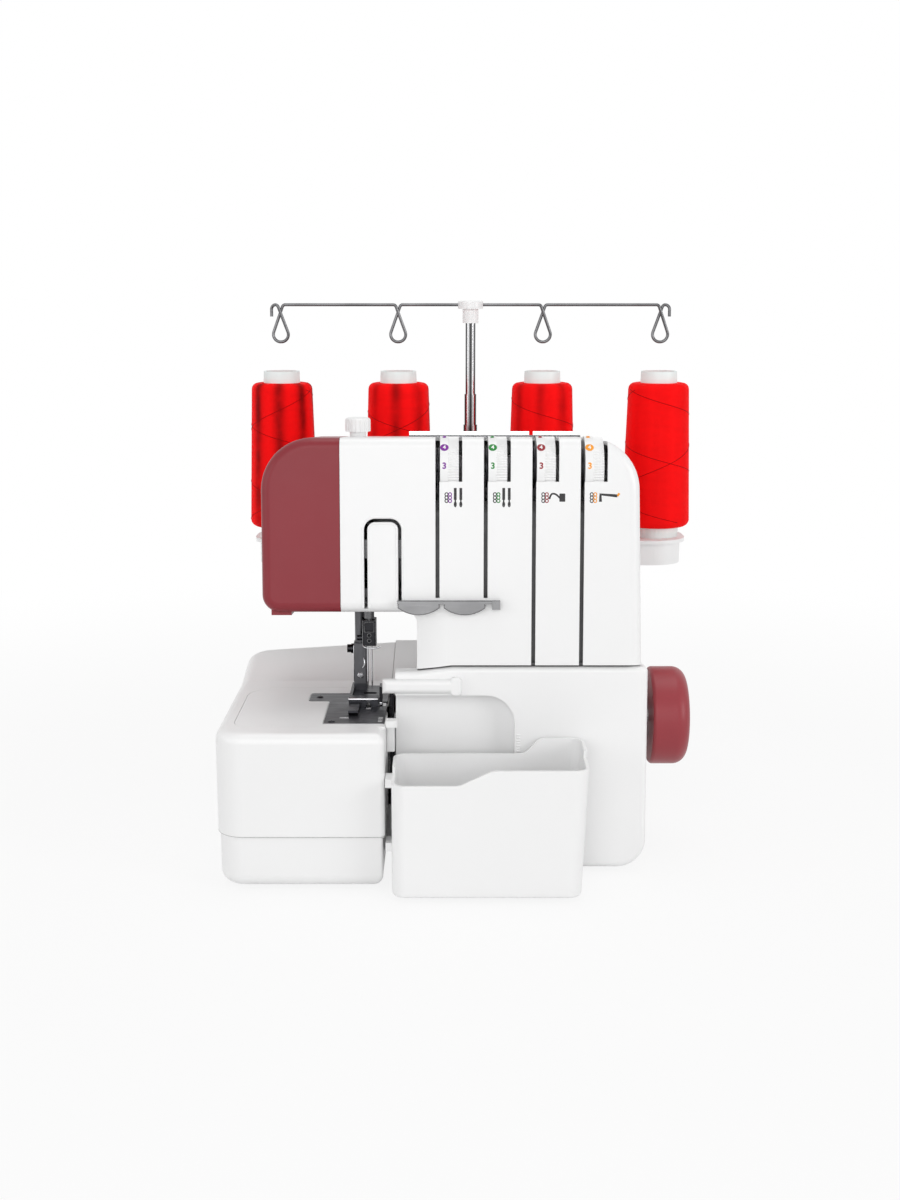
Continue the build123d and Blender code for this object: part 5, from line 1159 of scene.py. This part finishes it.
@dataclass
class ThreadSigns:
    """Printed threading signs under the dials: stitch loops, then needles, a hook or a looper.

    The lines of the tools and the needle's eye are given in radii of the loops' line.
    """

    tools: tuple[SignTool, ...] = (
        SignTool.NEEDLES,
        SignTool.NEEDLES,
        SignTool.HOOK,
        SignTool.LOOPER,
    )
    first: float = -0.0246
    pitch: float = 0.0331
    height: float = 0.2612
    line: float = 0.00034
    ink_height: float = 0.2
    loop: Pair = (0.00105, 0.00112)
    columns: Pair = (0.0062, 0.0086)
    needle_places: Pair = (0.0122, 0.0160)
    needle_ends: tuple[float, float, float] = (0.0066, -0.0015, -0.0056)
    shank: float = 2.8
    blade: float = 1.5
    eye: Pair = (2.0, 5.0)
    eye_rise: float = 3.0
    hook: tuple[Point, ...] = (
        (0.0104, -0.0010, 0.0),
        (0.0112, 0.0026, 0.0),
        (0.0142, 0.0028, 0.0),
        (0.0168, 0.0006, 0.0),
        (0.0186, -0.0012, 0.0),
    )
    hook_line: float = 1.8
    hook_block: Block = ((0.0172, -0.0028, -0.0004), (0.0212, 0.0028, 0.0004))
    looper: tuple[Point, ...] = (
        (0.0122, -0.0028, 0.0),
        (0.0122, 0.0022, 0.0),
        (0.0236, 0.0012, 0.0),
    )
    looper_line: float = 3.0
    tip: tuple[Point, ...] = ((0.0236, 0.0012, 0.0), (0.0244, 0.0018, 0.0), (0.0250, 0.0030, 0.0))
    tip_line: float = 2.2

    def loops(self, x: float) -> list[Piece]:
        """Model one column of three stitch loops at a place right of its slot."""
        return [flat_ring((x, 2 * self.loop[1] * row), self.loop, self.line) for row in (-1, 0, 1)]

    def needle(self, x: float) -> list[Piece]:
        """Model one needle.

        Args:
            x: The needle's place right of its slot.

        Returns:
            Its shank, its blade and its eye.
        """
        top, waist, tip = self.needle_ends
        shank = wire([(x, top, 0.0), (x, waist, 0.0)], self.shank * self.line)
        blade = wire([(x, waist, 0.0), (x, tip, 0.0)], self.blade * self.line)
        half = (self.eye[0] * self.line, self.eye[1] * self.line)
        return [shank, blade, flat_ring((x, tip + self.eye_rise * self.line), half, self.line)]

    def drawn(self, tool: SignTool) -> list[Piece]:
        """Model the black drawing of a sign's tool.

        Args:
            tool: The tool.

        Returns:
            The drawing's parts.
        """
        if tool is SignTool.NEEDLES:
            return [part for x in self.needle_places for part in self.needle(x)]
        if tool is SignTool.HOOK:
            hook = wire(self.hook, self.hook_line * self.line, curved=True)
            return [hook, soft_block(*self.hook_block, self.line)]
        return [wire(self.looper, self.looper_line * self.line)]

    def build(self) -> None:
        """Build the four signs, each in black and in its dial's colour."""
        flat = Matrix.Diagonal((1.0, 1.0, self.ink_height, 1.0))
        for number, (tool, dye) in enumerate(zip(self.tools, THREAD_INKS)):
            place = FRONT.place(self.first + self.pitch * number, self.height) @ flat
            black = self.drawn(tool) + self.loops(self.columns[0])
            bright = self.loops(self.columns[1])
            if tool is SignTool.LOOPER:
                bright.append(wire(self.tip, self.tip_line * self.line, curved=True))
            for kind, parts, ink in (("black", black, INK), ("bright", bright, dye)):
                sign = joined(parts)
                settle(sign, place)
                finish_piece(sign, f"sign_{number + 1}_{kind}", ink)


@dataclass
class TakeupRim:
    """Soft raised rims on both sides of the take-up slot."""

    left: float = -0.0753
    right: float = -0.0491
    top: float = 0.247
    foot: float = 0.1855
    corner: float = 0.008
    slot: float = 0.0028
    offset: float = 0.0007
    radius: float = 0.001
    sunk: float = 0.00055
    sides: int = 4
    corner_steps: int = 8

    def path(self, grow: float) -> list[Point]:
        """Work out the slot's outline on the front.

        Args:
            grow: How far the outline is moved outwards.

        Returns:
            The outline's points, from the left foot to the right one.
        """
        left, right = self.left - grow, self.right + grow
        corner = self.corner + grow
        half, height = (corner, corner), self.top + grow - corner
        outline = [(left, self.foot)]
        for middle, start in ((left + corner, math.pi), (right - corner, QUARTER)):
            outline += arc((middle, height), half, start, -QUARTER, self.corner_steps)
        outline.append((right, self.foot))
        return [FRONT.point(u, v, -self.sunk) for u, v in outline]

    def build(self) -> None:
        """Build the outer and the inner rim."""
        for name, grow in (("outer", self.offset), ("inner", -self.slot - self.offset)):
            rim = wire(self.path(grow), self.radius, self.sides)
            finish_piece(rim, f"takeup_rim_{name}", WHITE, crease=LINE_CREASE)


@dataclass
class GuideTrim:
    """Dark bead of the top thread guide, and dark edges of the low guide's strip and scoops."""

    left: float = -0.045
    right: float = 0.076
    height: float = 0.3028
    depth: float = 0.0398
    radius: float = 0.0006
    strip: Pair = (-0.0525, 0.0185)
    strip_top: float = 0.1905
    strip_foot: float = 0.1883
    proud: float = 0.004
    scoops: Pair = (-0.0375, -0.0060)
    scoop_half: float = 0.014
    scoop_side: float = 0.0026
    scoop_sag: float = 0.0048
    scoop_steps: int = 12
    edge: float = 0.0003

    def scoop(self, middle: float) -> list[Point]:
        """Work out the outline of one scoop under the strip.

        Args:
            middle: The scoop's place along the strip.

        Returns:
            The outline's points, from left to right.
        """
        bend = (self.scoop_half**2 + self.scoop_sag**2) / (2 * self.scoop_sag)
        side = self.strip_foot - self.scoop_side
        points = [FRONT.point(middle - self.scoop_half, self.strip_foot, self.proud)]
        for step in range(self.scoop_steps + 1):
            across = self.scoop_half * (2 * step / self.scoop_steps - 1)
            drop = math.sqrt(bend**2 - across**2) - bend + self.scoop_sag
            points.append(FRONT.point(middle + across, side - drop, self.proud))
        points.append(FRONT.point(middle + self.scoop_half, self.strip_foot, self.proud))
        return points

    def build(self) -> None:
        """Build the bead and the edges."""
        ends = [FRONT.point(x, self.height, -self.depth) for x in (self.left, self.right)]
        top = [FRONT.point(x, self.strip_top, self.proud) for x in self.strip]
        edges = joined([wire(path, self.edge) for path in (top, *map(self.scoop, self.scoops))])
        bead = wire(ends, self.radius)
        for name, piece in (("top_guide_bead", bead), ("low_guide_edges", edges)):
            finish_piece(piece, name, WIRE, crease=LINE_CREASE)


@dataclass
class SewingHead:
    """Small fittings of the sewing head and the needle plate."""

    bed: float = 0.112
    plate_screws: tuple[Pair, ...] = ((-0.1105, -0.0265), (-0.0975, -0.0900))
    screw_radius: float = 0.0026
    screw_height: float = 0.0009
    screw_sunk: float = 0.0003
    # Painted highlights: bright strips along the needle plate's bevelled edges.
    plate_edges: tuple[Block, ...] = (
        ((-0.1181, -0.0350, 0.1117), (-0.1175, -0.0185, 0.1122)),
        ((-0.1031, -0.0955, 0.1117), (-0.1025, -0.0395, 0.1122)),
        ((-0.1025, -0.0961, 0.1117), (-0.0615, -0.0955, 0.1122)),
    )
    thin_rounding: float = 0.00015
    plate_mark: Block = ((-0.0925, -0.0815, 0.1117), (-0.0860, -0.0803, 0.1122))
    mark_rounding: float = 0.0002
    guide_lines: tuple[float, ...] = (-0.0905, -0.0870, -0.0835, -0.0800)
    guide_span: Pair = (-0.0655, -0.0625)
    guide_line: float = 0.0006
    guide_proud: float = 0.0001
    guide_rounding: float = 0.0001
    thread_hook: tuple[Point, ...] = (
        (-0.0785, -0.0325, 0.1522),
        (-0.0775, -0.0350, 0.1508),
        (-0.0720, -0.0355, 0.1506),
        (-0.0672, -0.0350, 0.1506),
        (-0.0660, -0.0345, 0.1518),
    )
    hook_wire: float = 0.0006
    foot_bar: Block = ((-0.0884, -0.0538, 0.1164), (-0.0666, -0.0516, 0.1186))
    bar_rounding: float = 0.0009
    clamp_face: float = -0.0331
    # Painted highlights: bright outlines along the clamp's edges and round its holes.
    clamp_frames: tuple[tuple[float, float, float, float], ...] = (
        (-0.0787, -0.0693, 0.1518, 0.1702),
        (-0.0775, -0.0705, 0.1620, 0.1690),
    )
    clamp_holes: tuple[float, ...] = (0.1555, 0.1595)
    clamp_hole: float = 0.0014
    clamp_x: float = -0.074
    frame_wire: float = 0.00022
    ankle_pin: Point = (-0.0815, -0.0180, 0.1262)
    pin_outline: tuple[Pair, ...] = ((0.0022, -0.0004), (0.0022, 0.0007), (0.0017, 0.0012))
    pin_sides: int = 24
    ankle_edge: Block = ((-0.08645, -0.01815, 0.1215), (-0.0860, -0.0177, 0.1485))
    ankle_hook: tuple[Point, ...] = (
        (-0.0790, -0.0183, 0.1395),
        (-0.0782, -0.0200, 0.1380),
        (-0.0782, -0.0205, 0.1340),
        (-0.0795, -0.0200, 0.1325),
    )
    knife_edge: Block = ((-0.06635, -0.0502, 0.1127), (-0.0641, -0.0398, 0.1146))
    knife_rounding: float = 0.0003

    def plate_fittings(self) -> None:
        """Build the needle plate's screws, the painted highlights on its edges, its mark and its
        guide lines.
        """
        for number, (x, y) in enumerate(self.plate_screws, start=1):
            head = ScrewHead(self.screw_radius, self.screw_height).build()
            settle(head, Matrix.Translation((x, y, self.bed - self.screw_sunk)))
            finish_piece(head, f"plate_screw_{number}", DARK)
        # Painted highlights along the plate's edges, joined with the plate's mark.
        edges = [soft_block(*block, self.thin_rounding, segments=2) for block in self.plate_edges]
        edges.append(soft_block(*self.plate_mark, self.mark_rounding, segments=2))
        finish_piece(joined(edges), "plate_edges", BRIGHT)
        lines = []
        for y in self.guide_lines:
            low = (self.guide_span[0], y, self.bed - self.guide_line)
            high = (self.guide_span[1], y + self.guide_line, self.bed + self.guide_proud)
            lines.append(soft_block(low, high, self.guide_rounding, segments=1))
        finish_piece(joined(lines), "plate_lines", PALE_INK)

    def clamp_trim(self) -> None:
        """Build painted highlights on the needle clamp's face: frames along its edges and rims round
        its holes.
        """
        parts = []
        for left, right, low, high in self.clamp_frames:
            corners = ((left, low), (right, low), (right, high), (left, high), (left, low))
            parts.append(wire([(x, z, 0.0) for x, z in corners], self.frame_wire))
        half = (self.clamp_hole, self.clamp_hole)
        for z in self.clamp_holes:
            parts.append(flat_ring((self.clamp_x, z), half, self.frame_wire))
        trim = joined(parts)
        settle(trim, Matrix.Translation((0.0, self.clamp_face, 0.0)) @ UPRIGHT)
        finish_piece(trim, "clamp_trim", SHEET, "needle_bar")

    def ankle_trim(self) -> None:
        """Build the ankle's pin, its bright edge and its thread hook."""
        pin = turned(self.pin_outline, self.ankle_pin, Axis.Y, self.pin_sides)
        edge = soft_block(*self.ankle_edge, self.thin_rounding, segments=2)
        hook = wire(self.ankle_hook, self.hook_wire, curved=True)
        trim, body = joined([pin, edge, hook]), "presser_bar"
        finish_piece(trim, "ankle_trim", POLISHED, body, PART_CREASE)

    def build(self) -> None:
        """Build the fittings of the plate, the needle bar, the presser bar and the knife."""
        self.plate_fittings()
        hook = wire(self.thread_hook, self.hook_wire, curved=True)
        name = "needle_thread_hook"
        finish_piece(hook, name, POLISHED, "needle_bar", LINE_CREASE)
        bar = soft_block(*self.foot_bar, self.bar_rounding)
        name = "foot_front_bar"
        finish_piece(bar, name, POLISHED, "presser_bar", PART_CREASE)
        self.clamp_trim()
        self.ankle_trim()
        edge = soft_block(*self.knife_edge, self.knife_rounding, segments=2)
        finish_piece(edge, "knife_edge", POLISHED, "upper_knife")


@dataclass
class PanSeam:
    """Shadow line of the seam between the bottom pan and the bed cover."""

    right: float = -0.0602
    front: float = -0.122
    left: float = -0.175
    back: float = 0.060
    corner: float = 0.019
    height: float = 0.0401
    radius: float = 0.00035
    sunk: float = 0.0002
    sides: int = 2
    corner_steps: int = 10

    def build(self) -> None:
        """Build the line along the bed's front, round its corner and along its left side."""
        front, left = self.front + self.sunk, self.left + self.sunk
        middle, half = (left + self.corner, front + self.corner), (self.corner, self.corner)
        bend = arc(middle, half, -QUARTER, -QUARTER, self.corner_steps)
        outline = [(self.right, front), *bend, (left, self.back)]
        line = wire([(x, y, self.height) for x, y in outline], self.radius, self.sides)
        finish_piece(line, "pan_seam", SEAM_SHADOW, crease=LINE_CREASE)


@dataclass
class CoverSeam:
    """Dark joint over the looper cover, along the front cover's lower edge."""

    path: tuple[Point, ...] = (
        (-0.0385, 0.14152, -0.0062),
        (-0.0150, 0.14492, -0.0010),
        (0.1060, 0.14492, -0.0010),
        (0.1150, 0.14492, -0.0060),
    )
    radius: float = 0.0004

    def build(self) -> None:
        """Build the line down the cover's slope and along its top."""
        line = wire([FRONT.point(*corner) for corner in self.path], self.radius)
        finish_piece(line, "cover_seam", INK, crease=LINE_CREASE)


@dataclass
class CoverGrips:
    """Grip bumps beside the looper cover's recess, and the chip panel at its left end."""

    count: int = 7
    left: float = 0.0302
    width: float = 0.0030
    first: float = 0.0845
    pitch: float = 0.0019
    thick: float = 0.0011
    proud: float = 0.0006
    bump_rounding: float = 0.0004
    chip_panel: Block = ((-0.0597, -0.0850, 0.0885), (-0.0543, -0.0826, 0.1090))
    panel_rounding: float = 0.0008

    def build(self) -> None:
        """Model one bump and copy it up the row, and model the panel."""
        corner = (self.width / 2, self.thick / 2, self.proud)
        bump = soft_block(tuple(-part for part in corner), corner, self.bump_rounding)
        u = self.left + self.width / 2
        heights = [self.first + self.pitch * number for number in range(self.count)]
        grips = joined([copied(bump, FRONT.place(u, v)) for v in heights])
        bpy.data.objects.remove(bump)
        panel = soft_block(*self.chip_panel, self.panel_rounding)
        for name, piece in (("cover_grips", grips), ("chip_panel", panel)):
            finish_piece(piece, name, WHITE, "looper_cover", BLOCK_CREASE)


@dataclass
class CoverScrews:
    """Pan-head screws that hold the rear cover and the end cover."""

    rear: tuple[Pair, ...] = ((-0.080, 0.195), (-0.080, 0.285), (0.098, 0.285), (0.100, 0.150))
    rear_depth: float = -0.110
    end: tuple[Pair, ...] = ((0.088, 0.108), (0.088, 0.050), (0.012, 0.050))
    radius: float = 0.0036
    height: float = 0.0016

    def build(self) -> None:
        """Model one screw and copy it to each place."""
        first = ScrewHead(self.radius, self.height).build()
        places = [FRONT.place(u, v, self.rear_depth) @ BACKWARDS for u, v in self.rear]
        places += [RIGHT_END @ Matrix.Translation((y, z, 0.0)) for y, z in self.end]
        for number, place in enumerate(places, start=1):
            head = copied(first, place)
            name = f"cover_screw_{number}"
            finish_piece(head, name, BRIGHT, crease=TURNED_CREASE)
        bpy.data.objects.remove(first)


@dataclass
class EndControls:
    """Marks round the two side dials, the switch's signs, the inlet's pins and the wheel's cap."""

    dials: tuple[str, ...] = ("stitch_length_dial", "feed_dial")
    tick_count: int = 9
    tick_span: float = math.radians(240.0)
    tick_radius: float = 0.0152
    tick: Point = (0.0004, 0.0012, 0.0001)
    tick_rounding: float = 0.00008
    ticks_to_figure: int = 4
    ticks_to_unit: int = 2
    figure_radius: float = 0.0188
    figure_height: float = 0.0026
    sign_rise: float = 0.0135
    stroke: Point = (0.0004, 0.0016, 0.0001)
    stroke_rounding: float = 0.00005
    ring_half: float = 0.0016
    ring_line: float = 0.0004 / 1.5
    ring_height: float = 0.3
    pin_pitch: float = 0.0045
    pin_radius: float = 0.0012
    pin_length: float = 0.0062
    pin_nose: tuple[Pair, ...] = ((1.0, 0.0), (0.8, 0.7), (0.3, 1.0))
    pin_sunk: float = 0.0005
    pin_sides: int = 20
    cap: tuple[Pair, ...] = (
        (0.0170, -0.0010),
        (0.0170, 0.0004),
        (0.0164, 0.0011),
        (0.0120, 0.0014),
        (0.0112, 0.0006),
        (0.0020, 0.0006),
    )
    cap_sides: int = 64

    def place(self, node: str, rise: float = 0.0) -> Matrix:
        """Return the placing of a flat sign on the right end, above a node's middle."""
        middle = middle_of(node)
        return RIGHT_END @ Matrix.Translation((middle.y, middle.z + rise, 0.0))

    def block(self, corner: Point, rounding: float) -> Piece:
        """Model a flat block about the origin, from its highest corner."""
        return soft_block(tuple(-part for part in corner), corner, rounding, segments=1)

    def ticks(self, node: str) -> None:
        """Build the ticks and the figures round one side dial.

        Args:
            node: The dial's CAD node.
        """
        centre = self.place(node)
        marks = []
        for number in range(self.tick_count):
            turn = self.tick_span * (0.5 - number / (self.tick_count - 1))
            spin = Matrix.Rotation(turn, 4, "Z")
            tick = self.block(self.tick, self.tick_rounding)
            settle(tick, centre @ spin @ Matrix.Translation((0.0, self.tick_radius, 0.0)))
            marks.append(tick)
            if number % self.ticks_to_figure == 0:
                text = str(number // self.ticks_to_unit)
                label = figure(text, self.figure_height, 2 * self.tick[2])
                out = Vector((0.0, self.figure_radius, 0.0))
                settle(label, centre @ Matrix.Translation(spin @ out))
                marks.append(label)
        finish_piece(joined(marks), f"{node}_marks", INK)

    def switch_signs(self) -> None:
        """Build the on and off signs above and below the switch."""
        stroke = self.block(self.stroke, self.stroke_rounding)
        settle(stroke, self.place("power_switch", self.sign_rise))
        ring = flat_ring((0.0, 0.0), (self.ring_half, self.ring_half), self.ring_line)
        flat = Matrix.Diagonal((1.0, 1.0, self.ring_height, 1.0))
        settle(ring, self.place("power_switch", -self.sign_rise) @ flat)
        finish_piece(joined([stroke, ring]), "switch_signs", INK)

    def inlet_pins(self) -> None:
        """Build the two pins of the power inlet."""
        low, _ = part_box("power_inlet")
        middle = middle_of("power_inlet")
        radius, nose = self.pin_radius, self.pin_length - self.pin_radius
        outline = [(radius, 0.0)]
        outline += [(out * radius, nose + up * radius) for out, up in self.pin_nose]
        pins = []
        for y in (middle.y - self.pin_pitch, middle.y + self.pin_pitch):
            foot = (low.x + self.pin_sunk, y, middle.z)
            pins.append(turned(outline, foot, Axis.X, self.pin_sides))
        finish_piece(joined(pins), "inlet_pins", BRIGHT, crease=TURNED_CREASE)

    def wheel_cap(self) -> None:
        """Build the cap in the handwheel's outer face."""
        _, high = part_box("handwheel")
        middle = middle_of("handwheel")
        cap = turned(self.cap, (high.x, middle.y, middle.z), Axis.X, self.cap_sides)
        body = "handwheel_drive"
        finish_piece(cap, "handwheel_cap", WHEEL_WITH_PAINTED_LIGHT, body, TURNED_CREASE)

    def build(self) -> None:
        """Build all the fittings of the right end."""
        for node in self.dials:
            self.ticks(node)
        self.switch_signs()
        self.inlet_pins()
        self.wheel_cap()


@dataclass
class Studio:
    """Pale floor, soft light and the camera at the photograph's place.

    Each lamp has a name, a place, a width and a power in watts.
    """

    camera_place: Point = (-0.016, -1.082, 0.40226)
    camera_pitch: float = math.radians(90.0 - 11.677)
    lens: float = 45.0
    floor_half: float = 6.0
    floor_colours: tuple[Colour, Colour] = ((0.82, 0.82, 0.82), (0.79, 0.79, 0.79))
    floor_roughness: float = 0.8
    floor_glow: Pair = (0.86, 1.0)
    floor_fade: Pair = (0.35, 1.1)
    sky: float = 0.5
    aim: Point = (0.0, 0.0, 0.18)
    lamps: tuple[tuple[str, Point, float, float], ...] = (
        ("front_box", (-0.4, -2.6, 1.0), 2.0, 20.0),
        ("left_box", (-2.2, -1.2, 0.8), 1.4, 9.0),
        ("right_box", (2.3, -1.4, 0.9), 1.2, 19.0),
        ("top_box", (0.1, 0.2, 2.3), 1.4, 10.0),
    )

    def camera(self) -> None:
        """Make the camera at the photograph's viewing angle."""
        data = bpy.data.cameras.new("camera")
        data.lens = self.lens
        camera = bpy.data.objects.new("camera", data)
        camera.location = self.camera_place
        camera.rotation_euler = (self.camera_pitch, 0.0, 0.0)
        bpy.context.scene.collection.objects.link(camera)
        bpy.context.scene.camera = camera

    def seen_share(self, tree: NodeTree) -> Socket:
        """Find the rays that show the background.

        Args:
            tree: The tree that needs them.

        Returns:
            A socket that is 1 for those rays and 0 for the others.
        """
        path = tree.add("LightPath").outputs
        seen = tree.math("MAXIMUM", path["Is Camera Ray"], path["Is Glossy Ray"])
        return tree.math("MAXIMUM", seen, path["Is Transmission Ray"])

    def world(self) -> None:
        """Make a plain sky that lights softly and shows white."""
        world = bpy.data.worlds.new("studio")
        bpy.context.scene.world = world
        world.use_nodes = True
        tree = NodeTree(world.node_tree)
        strength = tree.remap(self.seen_share(tree), (0.0, 1.0), (self.sky, 1.0))
        white = (1.0, 1.0, 1.0, 1.0)
        tree.fill(tree.nodes["Background"], {"Color": white, "Strength": strength})

    def floor(self) -> None:
        """Make the floor, which shows near white and keeps the shadow."""
        deselect()
        bpy.ops.mesh.primitive_plane_add(size=2 * self.floor_half, location=(0, 0, 0))
        floor = bpy.context.object
        floor.name = "floor"
        tree = SurfaceTree("pale_floor")
        clouds = tree.spread(tree.noise(scale=3.0))
        tree.surface(
            Base_Color=tree.tint(clouds, *self.floor_colours),
            Roughness=self.floor_roughness,
        )
        away = tree.add("VectorMath", {0: tree.place}, operation="LENGTH").outputs["Value"]
        ends = self.floor_fade, self.floor_glow
        fade = tree.remap(away, *ends, interpolation_type="SMOOTHSTEP")
        share = tree.math("MULTIPLY", self.seen_share(tree), fade)
        matt, glow = tree.shader.outputs["BSDF"], tree.add("Emission").outputs["Emission"]
        both = tree.add("MixShader", {"Fac": share, 1: matt, 2: glow}).outputs["Shader"]
        tree.fill(tree.nodes["Material Output"], {"Surface": both})
        floor.data.materials.append(tree.material)

    def lamp(self, name: str, place: Point, size: float, power: float) -> None:
        """Make one soft lamp that faces the machine.

        Args:
            name: The lamp's name.
            place: Its place.
            size: Its width.
            power: Its power in watts.
        """
        data = bpy.data.lights.new(name, "AREA")
        data.shape = "DISK"
        data.size = size
        data.energy = power
        lamp = bpy.data.objects.new(name, data)
        lamp.location = place
        facing = Vector(self.aim) - Vector(place)
        lamp.rotation_euler = facing.to_track_quat("-Z", "Y").to_euler()
        bpy.context.scene.collection.objects.link(lamp)

    def build(self) -> None:
        """Make the camera, the floor and the light."""
        self.camera()
        self.world()
        self.floor()
        for lamp in self.lamps:
            self.lamp(*lamp)
        bpy.context.scene.view_settings.view_transform = "Standard"


def main() -> None:
    """Build the machine's looks in order."""
    logging.basicConfig(level=logging.INFO, format="%(message)s")
    Studio().build()
    assemblies = (
        DressedNodes(),
        ThreadCones(),
        TensionDials(),
        ThreadSigns(),
        TakeupRim(),
        GuideTrim(),
        SewingHead(),
        PanSeam(),
        CoverSeam(),
        CoverGrips(),
        CoverScrews(),
        EndControls(),
    )
    for assembly in assemblies:
        LOG.info("building %s", type(assembly).__name__)
        assembly.build()


if __name__ == "__main__":
    main()
